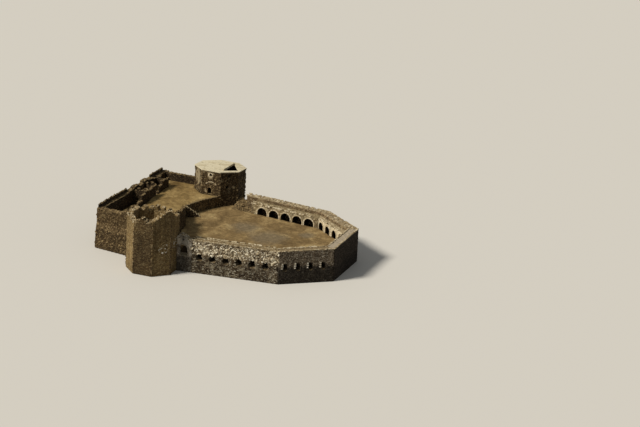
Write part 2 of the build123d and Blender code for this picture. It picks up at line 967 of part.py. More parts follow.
# Earth terraces of the upper court: the court, the sunken yard and the two rooms
yard_top = west_to_east(range_cross_y[0] - ruin_wall_thickness, range_front_x)
yard_outline = [yard_top[0], yard_top[1], front_foot, southwest_inner_corner]
court_top = west_to_east(range_cross_y[-1], range_back_x)
upper_court_outline = [
    northwest_inner_corner,
    (court_north_end[0], court_north_end[1] - court_wall_thickness),
    (-tower_face_x, tower_y - tower_half_face),
    (-tower_corner_x, tower_corner_y),
]
upper_court_outline += [west_side(point) for point in retaining_line]
upper_court_outline += [
    (-tower_corner_x, -tower_corner_y),
    southwest_inner_start,
    back_foot,
    court_top[1],
    court_top[0],
]
with BuildPart() as upper_court_fill:
    add(prism(upper_court_outline, upper_court_level).part)
    add(prism(yard_outline, yard_level).part)
    for south_y, north_y in zip(range_cross_y[:-1], range_cross_y[1:]):
        room_south = west_to_east(south_y, range_front_x)
        room_north = west_to_east(north_y - ruin_wall_thickness, range_front_x)
        room_outline = [room_north[0], room_north[1], room_south[1], room_south[0]]
        add(prism(room_outline, upper_court_level).part)
save(upper_court_fill, "upper_court_fill")
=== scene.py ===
"""Looks of a ruined coastal castle at one tenth of its real size.

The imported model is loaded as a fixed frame. Each part of the castle is a class that weathers the
masonry of its walls, lays the dressed stones of its edges and arches, and scatters fallen stone.
All sizes are in metres, with X running east, Y running north and Z up.
"""

from __future__ import annotations

import json
import logging
import math
from collections.abc import Callable, Iterable, Sequence
from dataclasses import dataclass, replace
from enum import Enum
from functools import partial
from typing import Any

import bmesh
import bpy
from mathutils import Matrix, Vector

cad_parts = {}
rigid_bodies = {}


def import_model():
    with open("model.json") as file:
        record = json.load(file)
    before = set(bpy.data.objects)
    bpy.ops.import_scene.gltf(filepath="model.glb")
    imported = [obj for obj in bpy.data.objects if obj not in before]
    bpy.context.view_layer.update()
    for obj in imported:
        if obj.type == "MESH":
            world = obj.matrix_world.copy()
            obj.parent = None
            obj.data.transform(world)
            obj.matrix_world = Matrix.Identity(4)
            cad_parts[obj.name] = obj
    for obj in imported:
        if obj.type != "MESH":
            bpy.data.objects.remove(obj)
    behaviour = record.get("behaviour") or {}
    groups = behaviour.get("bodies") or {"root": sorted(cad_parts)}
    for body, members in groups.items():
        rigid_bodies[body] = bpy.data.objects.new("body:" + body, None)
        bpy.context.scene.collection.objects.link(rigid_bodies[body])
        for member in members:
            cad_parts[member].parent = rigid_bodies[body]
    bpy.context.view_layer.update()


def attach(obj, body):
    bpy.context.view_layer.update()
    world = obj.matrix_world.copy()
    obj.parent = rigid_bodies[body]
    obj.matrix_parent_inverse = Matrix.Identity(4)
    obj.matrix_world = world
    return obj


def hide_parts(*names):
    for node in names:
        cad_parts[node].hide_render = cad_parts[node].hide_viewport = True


log = logging.getLogger("castle")

Plan = tuple[float, float]
Triple = tuple[float, float, float]
Colour = tuple[float, float, float, float]
Run = tuple[list[Vector], Vector]
Tree = bpy.types.NodeTree
Node = bpy.types.Node
Socket = bpy.types.NodeSocket
Source = Node | Socket
Adder = Callable[..., Node]
Piece = bpy.types.Object

# Colour of the painted shade in gun ports and vaults.
PAINTED_SHADE = "#221910"
TOWER_FACES = ("north", "northeast", "east", "southeast", "south", "southwest", "west", "northwest")


def linear(code: str) -> Colour:
    """Turn a colour as it is seen into the renderer's own.

    Args:
        code: An sRGB hex value such as "#a08050".

    Returns:
        The linear red, green, blue and alpha.
    """
    parts = [int(code[i : i + 2], 16) / 255 for i in (1, 3, 5)]
    r, g, b = (p / 12.92 if p <= 0.04045 else ((p + 0.055) / 1.055) ** 2.4 for p in parts)
    return r, g, b, 1.0


def add_node(
    tree: Tree,
    kind: str,
    inputs: dict[str | int, Any] | None = None,
    stops: Sequence[tuple[float, str]] = (),
    **settings: Any,
) -> Node:
    """Add one node with its settings, values and links.

    Args:
        tree: The material's or the geometry's node tree.
        kind: The node's type.
        inputs: Values, sockets or nodes by input name or number. A node stands for its first output.
        stops: Places and sRGB colours of a colour ramp.
        **settings: The node's own properties.

    Returns:
        The new node.
    """
    node = tree.nodes.new(kind)
    for name, value in settings.items():
        setattr(node, name, value)
    for key, value in (inputs or {}).items():
        source = value.outputs[0] if isinstance(value, Node) else value
        if isinstance(source, Socket):
            tree.links.new(source, node.inputs[key])
        else:
            node.inputs[key].default_value = source
    if stops:
        points = node.color_ramp.elements
        while len(points) < len(stops):
            points.new(1.0)
        for point, (place, code) in zip(points, stops):
            point.position = place
            point.color = linear(code)
    return node


@dataclass(frozen=True)
class WallLine:
    """Plan line of a wall's outer face, with the castle's inside on its right."""

    start: Plan
    end: Plan

    @property
    def length(self) -> float:
        """Length of the line."""
        return math.dist(self.start, self.end)

    @property
    def forward(self) -> Vector:
        """Unit vector along the line."""
        return Vector((self.end[0] - self.start[0], self.end[1] - self.start[1], 0)).normalized()

    @property
    def outward(self) -> Vector:
        """Unit vector out of the wall."""
        return Vector((-self.forward.y, self.forward.x, 0))

    def point(self, distance: float, level: float, inset: float = 0.0) -> Vector:
        """Point on the line, moved inwards and up to a level.

        Args:
            distance: How far along the line.
            level: Height above the ground.
            inset: How far inside the outer face.

        Returns:
            The point.
        """
        start = Vector((self.start[0], self.start[1], level))
        return start + self.forward * distance - self.outward * inset

    def run(self, places: Iterable[Plan], inset: float, inwards: bool = False) -> Run:
        """Run of stones through places on the wall.

        Args:
            places: Distance along the line and level of each place.
            inset: How far inside the outer face the stones' middle is.
            inwards: Whether the stones face the castle's inside.

        Returns:
            The run's points and the direction that its stones face.
        """
        facing = -self.outward if inwards else self.outward
        return [self.point(distance, level, inset) for distance, level in places], facing

    def row(self, cut: float, end_cut: float, level: float, inset: float, inwards: bool = False) -> Run:
        """Level run of stones along the wall, less a length at its start and one at its end."""
        return self.run(((cut, level), (self.length - end_cut, level)), inset, inwards)


@dataclass(frozen=True)
class CastlePlan:
    """Plan and levels of the castle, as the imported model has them."""

    face_x: float = 5.3103
    face_length: float = 1.952
    corner_setback: float = 1.388
    corner_y: float = 2.027
    side_spread: float = 0.12
    tower_radius: float = 0.8
    tower_y: float = 2.535
    court_level: float = 0.635
    upper_court_level: float = 0.98
    walk_level: float = 0.955
    parapet_level: float = 1.045
    arch_crown: float = 0.878
    side_depth: float = 0.56
    side_first: float = 0.411
    side_pitch: float = 0.415
    splay_depth: float = 0.52
    splay_first: float = 0.211
    splay_pitch: float = 0.395
    splay_bays: int = 4
    gate_block: float = 0.485

    @property
    def tower_face_x(self) -> float:
        """Distance of a tower's faces from its centre."""
        return self.tower_radius * math.cos(math.pi / 8)

    @property
    def north(self) -> WallLine:
        """North side of the battery, from the tower to its corner."""
        corner = (self.face_x - self.corner_setback, self.corner_y)
        rise = self.side_spread * (corner[0] - self.tower_face_x)
        return WallLine((self.tower_face_x, self.corner_y + rise), corner)

    @property
    def northeast(self) -> WallLine:
        """Splayed north-east face."""
        return WallLine(self.north.end, (self.face_x, self.face_length / 2))

    @property
    def east(self) -> WallLine:
        """Face at the point of the battery."""
        return WallLine(self.northeast.end, (self.face_x, -self.face_length / 2))

    @property
    def southeast(self) -> WallLine:
        """Splayed south-east face."""
        corner = self.north.end
        return WallLine(self.east.end, (corner[0], -corner[1]))

    @property
    def south(self) -> WallLine:
        """South side of the battery, from its corner to the tower."""
        return WallLine(self.southeast.end, (self.north.start[0], -self.north.start[1]))

    @property
    def southeast_first(self) -> float:
        """Distance of the first gun port along the south-east face."""
        return self.southeast.length - self.splay_first - self.splay_pitch * (self.splay_bays - 1)

    def tower_corner(self, centre_y: float, index: int) -> Plan:
        """Corner at the start of a tower face, counted clockwise from the north face."""
        angle = math.pi / 2 + math.pi / 8 - index * math.pi / 4
        return self.tower_radius * math.cos(angle), centre_y + self.tower_radius * math.sin(angle)

    def tower_face(self, centre_y: float, index: int) -> WallLine:
        """Plan line of a tower's face, counted clockwise from the north face."""
        return WallLine(self.tower_corner(centre_y, index), self.tower_corner(centre_y, index + 1))


PLAN = CastlePlan()


class Finish:
    """A finish that builds its material once and hands out the same one after that."""

    name: str
    roughness: float
    specular: float
    relief: float
    relief_strength: float

    def material(self) -> bpy.types.Material:
        """Return the finish's material, building it at the first call."""
        found = bpy.data.materials.get(self.name)
        if found is not None:
            return found
        made = bpy.data.materials.new(self.name)
        made.use_nodes = True
        made.node_tree.nodes.clear()
        add = partial(add_node, made.node_tree)
        colour, height = self.draw(add, add("ShaderNodeTexCoord").outputs["Object"])
        bump = add(
            "ShaderNodeBump", {"Height": height, "Distance": self.relief, "Strength": self.relief_strength}
        )
        surface = {"Base Color": colour, "Normal": bump, "Roughness": self.roughness}
        surface["Specular IOR Level"] = self.specular
        add("ShaderNodeOutputMaterial", {"Surface": add("ShaderNodeBsdfPrincipled", surface)})
        return made

    def draw(self, add: Adder, place: Source) -> tuple[Source, Source]:
        """Draw the finish's nodes.

        Args:
            add: Adds a node to the material.
            place: The point that is coloured.

        Returns:
            The colour and the height of the relief.
        """
        raise NotImplementedError


@dataclass(frozen=True)
class Patch:
    """A patch of another colour on a surface, round a point."""

    centre: Triple
    radius: float

    def reach(self, add: Adder, place: Source) -> Source:
        """Draw the distance from the patch's middle."""
        return add("ShaderNodeVectorMath", {0: place, 1: self.centre}, operation="DISTANCE").outputs["Value"]

    def mask(
        self, add: Adder, place: Source, ragged: Source, fray: float, outer: float, inner: float, most: float
    ) -> Source:
        """Draw how much of the patch shows, with a frayed edge.

        Args:
            add: Adds a node to the material.
            place: The point that is coloured.
            ragged: A noise that frays the edge.
            fray: How far it frays the edge, in radii.
            outer: Where the patch starts, in radii.
            inner: Where it shows in full, in radii.
            most: How much shows there.

        Returns:
            The share of the patch's colour.
        """
        moved = {0: ragged, 1: self.radius * fray, 2: self.reach(add, place)}
        frayed = add("ShaderNodeMath", moved, operation="MULTIPLY_ADD")
        return add("ShaderNodeMapRange", {0: frayed, 1: self.radius * outer, 2: self.radius * inner, 4: most})


@dataclass(frozen=True)
class Shade:
    """Painted shade: dark colour on part of a wall, where shade falls."""

    line: WallLine

    def away(self, add: Adder, place: Source) -> Node:
        """Draw the way from the start of the wall's line to the point that is coloured."""
        return add("ShaderNodeVectorMath", {0: place, 1: self.line.point(0.0, 0.0)}, operation="SUBTRACT")

    def mask(self, add: Adder, place: Source, ragged: Source) -> Source:
        """Draw how dark the painted shade is.

        Args:
            add: Adds a node to the material.
            place: The point that is coloured.
            ragged: A noise that frays the edge.

        Returns:
            The darkness, from 0 to 1.
        """
        raise NotImplementedError


@dataclass(frozen=True)
class PortShade(Shade):
    """Painted shade round a row of gun ports, where their recesses hold shade."""

    first: float
    pitch: float
    reach: float = 0.085
    middle: float = 0.5
    rise: float = 0.085
    fray: float = 1.6
    outer: float = 2.1
    inner: float = 1.5
    darkness: float = 0.9

    def mask(self, add: Adder, place: Source, ragged: Source) -> Source:
        """Draw a frayed oval of painted shade round each port."""
        away = self.away(add, place)
        along = add("ShaderNodeVectorMath", {0: away, 1: self.line.forward}, operation="DOT_PRODUCT")
        before = self.first - self.pitch / 2
        turned = add("ShaderNodeMath", {0: along.outputs["Value"], 1: before}, operation="SUBTRACT")
        swing = add("ShaderNodeMath", {0: turned, 1: self.pitch}, operation="FLOORED_MODULO")
        height = add("ShaderNodeSeparateXYZ", {0: away}).outputs["Z"]
        across = {0: swing, 1: 1 / self.reach, 2: -self.pitch / 2 / self.reach}
        wide = add("ShaderNodeMath", across, operation="MULTIPLY_ADD")
        up = {0: height, 1: 1 / self.rise, 2: -self.middle / self.rise}
        tall = add("ShaderNodeMath", up, operation="MULTIPLY_ADD")
        spot = add("ShaderNodeCombineXYZ", {0: wide, 2: tall})
        reach = add("ShaderNodeVectorMath", {0: spot}, operation="LENGTH").outputs["Value"]
        frayed = add("ShaderNodeMath", {0: ragged, 1: self.fray, 2: reach}, operation="MULTIPLY_ADD")
        return add("ShaderNodeMapRange", {0: frayed, 1: self.outer, 2: self.inner, 3: 0.0, 4: self.darkness})


@dataclass(frozen=True)
class VaultShade(Shade):
    """Painted shade inside vaults, behind the face that their arches open in."""

    depth: float
    first_dark: float = 0.012
    all_dark: float = 0.07
    top: float = 0.9
    fade: float = 0.02
    darkness: float = 0.94

    def mask(self, add: Adder, place: Source, ragged: Source) -> Source:
        """Draw painted shade on all that lies behind the face and below the top of the vaults."""
        away = self.away(add, place)
        along = add("ShaderNodeVectorMath", {0: away, 1: self.line.outward}, operation="DOT_PRODUCT")
        inwards = {0: along.outputs["Value"], 1: self.first_dark - self.depth, 2: self.all_dark - self.depth}
        behind = add("ShaderNodeMapRange", inwards)
        height = add("ShaderNodeSeparateXYZ", {0: place}).outputs["Z"]
        upwards = {0: height, 1: self.top, 2: self.top + self.fade, 3: self.darkness, 4: 0.0}
        below = add("ShaderNodeMapRange", upwards)
        return add("ShaderNodeMath", {0: behind, 1: below}, operation="MULTIPLY")


@dataclass(frozen=True)
class RubbleMasonry(Finish):
    """Field stone laid in lime mortar and weathered by salt wind.

    It shows as stones of several browns in mortar, with blotches where lime plaster still
    clings, dark streaks, darker colour towards its foot, its own colour on faces that look up,
    and painted shade round its ports and inside its vaults.
    """

    name: str
    stones: tuple[str, str, str, str]
    mortar: str
    plaster: str
    crest: str
    plaster_share: float
    stone_mm: float = 36.0
    course_squash: float = 1.5
    foot_level: float = 0.2
    foot_tone: float = 0.85
    patches: tuple[Patch, ...] = ()
    shades: tuple[Shade, ...] = ()
    roughness: float = 0.93
    specular: float = 0.2
    relief: float = 0.009
    relief_strength: float = 0.8

    def draw(self, add: Adder, place: Source) -> tuple[Source, Source]:
        """Draw stones, joints, plaster, streaks, foot, crest and shades."""
        sway = add("ShaderNodeTexNoise", {"Vector": place, "Scale": 16.0, "Detail": 2.0})
        shift = {0: sway.outputs["Color"], 1: (0.03, 0.03, 0.03), 2: place}
        swayed = add("ShaderNodeVectorMath", shift, operation="MULTIPLY_ADD")
        squash = (1.0, 1.0, self.course_squash)
        coursed = add("ShaderNodeVectorMath", {0: swayed, 1: squash}, operation="MULTIPLY")
        beds = {"Vector": coursed, "Scale": 1000.0 / self.stone_mm}
        cells = add("ShaderNodeTexVoronoi", beds)
        edges = add("ShaderNodeTexVoronoi", beds, feature="DISTANCE_TO_EDGE")
        chance = add("ShaderNodeSeparateColor", {0: cells.outputs["Color"]})
        stones = add("ShaderNodeValToRGB", {0: chance}, list(zip((0.05, 0.4, 0.7, 0.97), self.stones)))
        inside = add("ShaderNodeMapRange", {0: edges.outputs["Distance"], 1: 0.02, 2: 0.11})
        laid = add("ShaderNodeMix", {0: inside, 6: linear(self.mortar), 7: stones}, data_type="RGBA")
        blotch = add("ShaderNodeTexNoise", {"Vector": place, "Scale": 4.2, "Detail": 9.0, "Roughness": 0.66})
        low = 0.68 - 0.3 * self.plaster_share
        mask = add("ShaderNodeMapRange", {0: blotch, 1: low - 0.04, 2: low + 0.05})
        ragged = add("ShaderNodeTexNoise", {"Vector": place, "Scale": 11.0, "Detail": 6.0})
        for patch in self.patches:
            near = patch.mask(add, place, ragged, fray=3.0, outer=2.6, inner=2.3, most=1.0)
            mask = add("ShaderNodeMath", {0: mask, 1: near}, operation="MAXIMUM")
        thin = add("ShaderNodeMath", {0: mask, 1: 0.85}, operation="MULTIPLY")
        coats = {0: thin, 6: laid.outputs[2], 7: linear(self.plaster)}
        coated = add("ShaderNodeMix", coats, data_type="RGBA")
        cloud = add("ShaderNodeTexNoise", {"Vector": place, "Scale": 1.3, "Detail": 8.0, "Roughness": 0.6})
        tone = add("ShaderNodeMapRange", {0: cloud, 1: 0.3, 2: 0.7, 3: 0.68, 4: 1.25})
        drawn_down = add("ShaderNodeVectorMath", {0: place, 1: (9.0, 9.0, 1.1)}, operation="MULTIPLY")
        streak = add("ShaderNodeTexNoise", {"Vector": drawn_down, "Scale": 1.0, "Detail": 5.0})
        damp = add("ShaderNodeMapRange", {0: streak, 1: 0.35, 2: 0.62, 3: 0.74, 4: 1.06})
        both = add("ShaderNodeMath", {0: tone, 1: damp}, operation="MULTIPLY")
        height = add("ShaderNodeSeparateXYZ", {0: place}).outputs["Z"]
        ground = add("ShaderNodeMath", {0: ragged, 1: 0.25, 2: height}, operation="MULTIPLY_ADD")
        # Darker towards the foot: below foot_darkest_level the colour takes foot_tone in full.
        foot_darkest_level, foot_clear_level = self.foot_level + 0.08, self.foot_level + 0.17
        foot = add("ShaderNodeMapRange", {0: ground, 1: foot_darkest_level, 2: foot_clear_level, 3: self.foot_tone, 4: 1.0})
        dimmed = add("ShaderNodeMath", {0: both, 1: foot}, operation="MULTIPLY")
        weathered = add("ShaderNodeVectorMath", {0: coated.outputs[2], "Scale": dimmed}, operation="SCALE")
        # Faces that look up take the crest colour.
        facing = add("ShaderNodeSeparateXYZ", {0: add("ShaderNodeNewGeometry").outputs["Normal"]})
        upward = add("ShaderNodeMapRange", {0: facing.outputs["Z"], 1: 0.55, 2: 0.9, 3: 0.0, 4: 0.75})
        crest = add("ShaderNodeMix", {0: upward, 6: weathered, 7: linear(self.crest)}, data_type="RGBA")
        shown = crest.outputs[2]
        # Painted shade: each shade darkens the colour where shade falls, round ports and inside vaults.
        for shade in self.shades:
            darkness = shade.mask(add, place, ragged)
            shade_painted = add("ShaderNodeMix", {0: darkness, 6: shown, 7: linear(PAINTED_SHADE)}, data_type="RGBA")
            shown = shade_painted.outputs[2]
        grit = add("ShaderNodeTexNoise", {"Vector": place, "Scale": 70.0, "Detail": 5.0, "Roughness": 0.6})
        return shown, add("ShaderNodeMath", {0: grit, 1: 0.5, 2: inside}, operation="MULTIPLY_ADD")


@dataclass(frozen=True)
class LimePlaster(Finish):
    """Lime plaster trowelled over masonry and left to the rain.

    It shows as a smooth pale skin, stained in clouds, crazed with fine cracks and worn through
    in places to the stone below, with dark marks for its rain drains.
    """

    name: str
    pale: str
    stained: str
    worn: str
    worn_share: float
    drains: tuple[Patch, ...] = ()
    drain_tone: str = "#3b3120"
    crack_mm: float = 170.0
    roughness: float = 0.86
    specular: float = 0.25
    relief: float = 0.005
    relief_strength: float = 0.6

    def draw(self, add: Adder, place: Source) -> tuple[Source, Source]:
        """Draw the clouded skin, its cracks, its worn places and its rain drains."""
        cloud = add("ShaderNodeTexNoise", {"Vector": place, "Scale": 2.6, "Detail": 9.0, "Roughness": 0.62})
        stops = [(0.33, self.stained), (0.52, self.pale), (0.75, self.pale)]
        skin = add("ShaderNodeValToRGB", {0: cloud}, stops)
        bare = add("ShaderNodeTexNoise", {"Vector": place, "Scale": 8.0, "Detail": 8.0, "Roughness": 0.7})
        low = 0.66 - 0.28 * self.worn_share
        worn = add("ShaderNodeMapRange", {0: bare, 1: low - 0.03, 2: low + 0.05})
        coated = add("ShaderNodeMix", {0: worn, 6: skin, 7: linear(self.worn)}, data_type="RGBA")
        crazing = {"Vector": place, "Scale": 1000.0 / self.crack_mm}
        cracks = add("ShaderNodeTexVoronoi", crazing, feature="DISTANCE_TO_EDGE").outputs["Distance"]
        sound = add("ShaderNodeMapRange", {0: cracks, 1: 0.0, 2: 0.045, 3: 0.72, 4: 1.0})
        shown = add("ShaderNodeVectorMath", {0: coated.outputs[2], "Scale": sound}, operation="SCALE")
        for drain in self.drains:
            rim = {1: drain.radius * 0.7, 2: drain.radius, 3: 1.0, 4: 0.0}
            hole = add("ShaderNodeMapRange", {0: drain.reach(add, place), **rim})
            holed = add("ShaderNodeMix", {0: hole, 6: shown, 7: linear(self.drain_tone)}, data_type="RGBA")
            shown = holed.outputs[2]
        grain = add("ShaderNodeTexNoise", {"Vector": place, "Scale": 45.0, "Detail": 4.0})
        return shown, add("ShaderNodeMath", {0: worn, 1: -0.7, 2: grain}, operation="MULTIPLY_ADD")


@dataclass(frozen=True)
class DryEarth(Finish):
    """Sandy earth trodden hard inside the walls.

    It shows as ochre and brown clouds with light and dark grit, greyer where gravel has gathered.
    """

    name: str
    dark: str
    middle: str
    light: str
    gravel: str = "#756750"
    patches: tuple[Patch, ...] = ()
    roughness: float = 0.97
    specular: float = 0.1
    relief: float = 0.012
    relief_strength: float = 0.6

    def draw(self, add: Adder, place: Source) -> tuple[Source, Source]:
        """Draw the clouds of earth, the grit and the gravel."""
        clouds = {"Vector": place, "Scale": 1.6, "Detail": 10.0, "Roughness": 0.63, "Distortion": 0.4}
        cloud = add("ShaderNodeTexNoise", clouds)
        stops = [(0.28, self.dark), (0.5, self.middle), (0.74, self.light)]
        colour = add("ShaderNodeValToRGB", {0: cloud}, stops).outputs[0]
        ragged = add("ShaderNodeTexNoise", {"Vector": place, "Scale": 3.0, "Detail": 8.0})
        for patch in self.patches:
            near = patch.mask(add, place, ragged, fray=1.0, outer=1.7, inner=1.0, most=0.8)
            mixed = add("ShaderNodeMix", {0: near, 6: colour, 7: linear(self.gravel)}, data_type="RGBA")
            colour = mixed.outputs[2]
        pebbles = add("ShaderNodeTexVoronoi", {"Vector": place, "Scale": 42.0})
        chance = add("ShaderNodeSeparateColor", {0: pebbles.outputs["Color"]})
        few = add("ShaderNodeMapRange", {0: chance, 1: 0.0, 2: 1.0, 3: 0.86, 4: 1.14})
        tufts = add("ShaderNodeTexNoise", {"Vector": place, "Scale": 8.0, "Detail": 8.0, "Roughness": 0.72})
        worn = add("ShaderNodeMapRange", {0: tufts, 1: 0.36, 2: 0.64, 3: 0.72, 4: 1.24})
        tone = add("ShaderNodeMath", {0: few, 1: worn}, operation="MULTIPLY")
        speckled = add("ShaderNodeVectorMath", {0: colour, "Scale": tone}, operation="SCALE")
        return speckled, add("ShaderNodeTexNoise", {"Vector": place, "Scale": 26.0, "Detail": 8.0})


@dataclass(frozen=True)
class BrokenStone(Finish):
    """Loose or dressed stones, each broken from the bed in its own tone."""

    name: str
    dark: str
    middle: str
    light: str
    tone_mm: float = 46.0
    roughness: float = 0.9
    specular: float = 0.2
    relief: float = 0.004
    relief_strength: float = 0.6

    def draw(self, add: Adder, place: Source) -> tuple[Source, Source]:
        """Draw tones that change about once a stone, with grain and lichen."""
        cells = add("ShaderNodeTexVoronoi", {"Vector": place, "Scale": 1000.0 / self.tone_mm})
        chance = add("ShaderNodeSeparateColor", {0: cells.outputs["Color"]})
        stops = [(0.05, self.dark), (0.5, self.middle), (0.95, self.light)]
        tones = add("ShaderNodeValToRGB", {0: chance}, stops)
        grain = add("ShaderNodeTexNoise", {"Vector": place, "Scale": 30.0, "Detail": 6.0, "Roughness": 0.65})
        lichen = add("ShaderNodeMapRange", {0: grain, 1: 0.3, 2: 0.7, 3: 0.8, 4: 1.15})
        return add("ShaderNodeVectorMath", {0: tones, "Scale": lichen}, operation="SCALE"), grain


BATTERY_STONE = RubbleMasonry(
    "battery rubble masonry", ("#5a4830", "#7c6647", "#917a58", "#b39d7a"),
    mortar="#6b5940", plaster="#a8946f", crest="#a59170", plaster_share=0.3,
)
SOUTH_WALL_STONE = RubbleMasonry(
    "south battery rubble masonry", ("#4b3b28", "#7f6d52", "#b09d7e", "#e8dcc0"),
    mortar="#453522", plaster="#d0c1a1", crest="#8d7752", plaster_share=0.3,
    stone_mm=50.0, foot_level=0.56, foot_tone=0.5,
    # Painted shade round the gun ports.
    shades=(PortShade(PLAN.south, PLAN.side_first, PLAN.side_pitch),),
)
SOUTHEAST_WALL_STONE = RubbleMasonry(
    "shaded battery rubble masonry", ("#5a4c3a", "#877761", "#a6967d", "#d8cbb2"),
    mortar="#544634", plaster="#b0a088", crest="#957f5a", plaster_share=0.2,
    foot_level=0.54, foot_tone=0.18,
    # Painted shade round the gun ports.
    shades=(PortShade(PLAN.southeast, PLAN.southeast_first, PLAN.splay_pitch, reach=0.05),),
)
# Painted shade: dark stones for the east wall, whose face stands in shade; its crest stays pale.
EAST_WALL_STONE = RubbleMasonry(
    "unlit battery rubble masonry", ("#302820", "#41382d", "#51473a", "#6b6052"),
    mortar="#312920", plaster="#5b5042", crest="#c6b599", plaster_share=0.12,
    foot_level=0.4, foot_tone=0.7,
)
GATE_STONE = RubbleMasonry(
    "grey gate masonry", ("#7d6f5c", "#b5a68e", "#d6c8b0", "#f0e6d2"),
    mortar="#8f806a", plaster="#eadfc9", crest="#948467", plaster_share=0.3,
    foot_level=0.5, foot_tone=0.3, patches=(Patch((0.94, -2.41, 0.93), 0.24),),
)
CASEMATE_STONE = RubbleMasonry(
    "plastered casemate masonry", ("#6d5a40", "#8f7c5a", "#b09d77", "#d6c5a0"),
    mortar="#7a6749", plaster="#c3b490", crest="#8f7c59", plaster_share=0.5,
)
NORTH_CASEMATE_STONE = replace(
    # Painted shade inside the vaults.
    CASEMATE_STONE, name="plastered north casemate masonry", shades=(VaultShade(PLAN.north, PLAN.side_depth),)
)
# Painted light: a paler copy of the casemate masonry for the sunny north-east arcade, which also keeps more
# of its plaster.
SUNLIT_CASEMATE_STONE = RubbleMasonry(
    "plastered casemate masonry with painted sunlight", ("#a8946f", "#ccb890", "#e2cfa8", "#f0e1be"),
    mortar="#c8b48c", plaster="#f0dfba", crest="#957f5a", plaster_share=0.9,
    # Painted shade inside the vaults.
    shades=(VaultShade(PLAN.northeast, PLAN.splay_depth),),
)
NORTH_TOWER_STONE = RubbleMasonry(
    "north tower rubble masonry", ("#2f2210", "#483822", "#655336", "#98845f"),
    mortar="#3b2d1a", plaster="#ab9a78", crest="#8d7a56", plaster_share=0.16,
    patches=(
        Patch((-0.016, 1.796, 1.62), 0.1),
        Patch((-0.17, 1.796, 1.1), 0.05),
        Patch((-0.55, 1.98, 1.45), 0.22),
        Patch((-0.33, 1.82, 1.3), 0.06),
    ),
)
SOUTH_TOWER_STONE = RubbleMasonry(
    "south tower squared masonry", ("#745e3a", "#957b50", "#aa905f", "#c3ab7c"),
    mortar="#7f6743", plaster="#b39b70", crest="#9d8762", plaster_share=0.2, course_squash=1.9,
)
# Painted shade: a darker copy of the south tower's masonry for the faces in SouthTower.shaded_faces.
SHADED_TOWER_STONE = RubbleMasonry(
    "squared masonry with painted shade", ("#44341e", "#5e4b2e", "#725d3c", "#93805a"),
    mortar="#4c3b24", plaster="#93805c", crest="#9d8762", plaster_share=0.1, course_squash=1.9,
)
COURT_STONE = RubbleMasonry(
    "court rubble masonry", ("#3a2c1a", "#56442b", "#6f5b3b", "#957f5a"),
    mortar="#453620", plaster="#86724f", crest="#957f58", plaster_share=0.16,
)
# Painted shade: a darker copy of the court masonry for walls and the stair that stand in shade.
SHADED_COURT_STONE = RubbleMasonry(
    "shaded court rubble masonry", ("#2c2115", "#413220", "#55452e", "#7d6b4d"),
    mortar="#332718", plaster="#5e4e37", crest="#9c8760", plaster_share=0.16,
)
ROOF_PLASTER = LimePlaster(
    "lime plaster roof", pale="#ded1b0", stained="#bfae88", worn="#a5936f", worn_share=0.2,
    drains=(Patch((-0.356, 2.077, 1.721), 0.035), Patch((0.150, 2.127, 1.716), 0.035)),
)
# Painted shade and wear: a copy of the roof plaster, a little darker in place of the shading of the east
# roof's slope, with more worn patches.
WORN_SHADED_ROOF_PLASTER = LimePlaster(
    "worn lime plaster roof with painted shade", pale="#dccfae", stained="#c0b08d", worn="#a08d6b", worn_share=0.3
)
COURT_EARTH = DryEarth(
    "sandy court earth", dark="#5f4c30", middle="#846d48", light="#b39b6c",
    patches=(
        Patch((1.8, 0.45, 0.635), 0.5),
        Patch((2.75, -0.05, 0.635), 0.62),
        Patch((3.7, 0.75, 0.635), 0.26),
    ),
)
UPPER_EARTH = DryEarth("ochre court earth", "#66512f", "#8b7348", "#b79d6b")
# Painted shade: dark earth for the ramp under the gate and the earth in the casemates, where shade falls.
SHADE_PAINTED_EARTH = DryEarth("earth with painted shade", "#3a2e1f", "#4a3b28", "#5c4a33")
COPING_STONE = BrokenStone("pale coping stone", "#7c6a4d", "#ab9773", "#d3c4a3")
RIM_STONE = BrokenStone("plastered arch stone", "#a3906c", "#c9b896", "#e0d2b4")
FACING_STONE = BrokenStone("bleached facing stone", "#76644a", "#bba987", "#f2e8ce")
GATE_RIM_STONE = BrokenStone("grey arch stone", "#6d6252", "#958a79", "#b5aa99")
LIMEWASHED_STONE = BrokenStone("limewashed stone", "#cdc0a4", "#e8ddc5", "#faf3e0")
FALLEN_STONE = BrokenStone("fallen brown stone", "#4c3c26", "#715c3d", "#9c865f")
QUOIN_STONE = BrokenStone("corner stone", "#4c3b26", "#715d40", "#9a8662")


class Ruin(Enum):
    """How far a wall has gone, as lump depth and crumble depth at its top, in metres."""

    SOUND = (0.004, 0.0)
    WORN = (0.006, 0.012)
    BROKEN = (0.008, 0.045)


def open_group(name: str, numbers: dict[str, float]) -> tuple[Tree, Adder, Any]:
    """Start a geometry tree with named inputs.

    Args:
        name: The tree's name.
        numbers: Name and default of each input between the geometry and the material.

    Returns:
        The tree, what adds a node to it, and its inputs by name.
    """
    tree = bpy.data.node_groups.new(name, "GeometryNodeTree")
    face = tree.interface
    face.new_socket("Geometry", in_out="INPUT", socket_type="NodeSocketGeometry")
    face.new_socket("Geometry", in_out="OUTPUT", socket_type="NodeSocketGeometry")
    for label, default in numbers.items():
        kind = "NodeSocketInt" if isinstance(default, int) else "NodeSocketFloat"
        face.new_socket(label, in_out="INPUT", socket_type=kind).default_value = default
    face.new_socket("Material", in_out="INPUT", socket_type="NodeSocketMaterial")
    add = partial(add_node, tree)
    return tree, add, add("NodeGroupInput").outputs


def close_group(add: Adder, geometry: Source, material: Source) -> None:
    """End a geometry tree with flat-shaded faces and their material.

    Args:
        add: Adds a node to the tree.
        geometry: What the tree has made.
        material: The material that it takes.
    """
    flat = add("GeometryNodeSetShadeSmooth", {0: geometry, "Shade Smooth": False})
    dressed = add("GeometryNodeSetMaterial", {"Geometry": flat, "Material": material})
    add("NodeGroupOutput", {0: dressed})


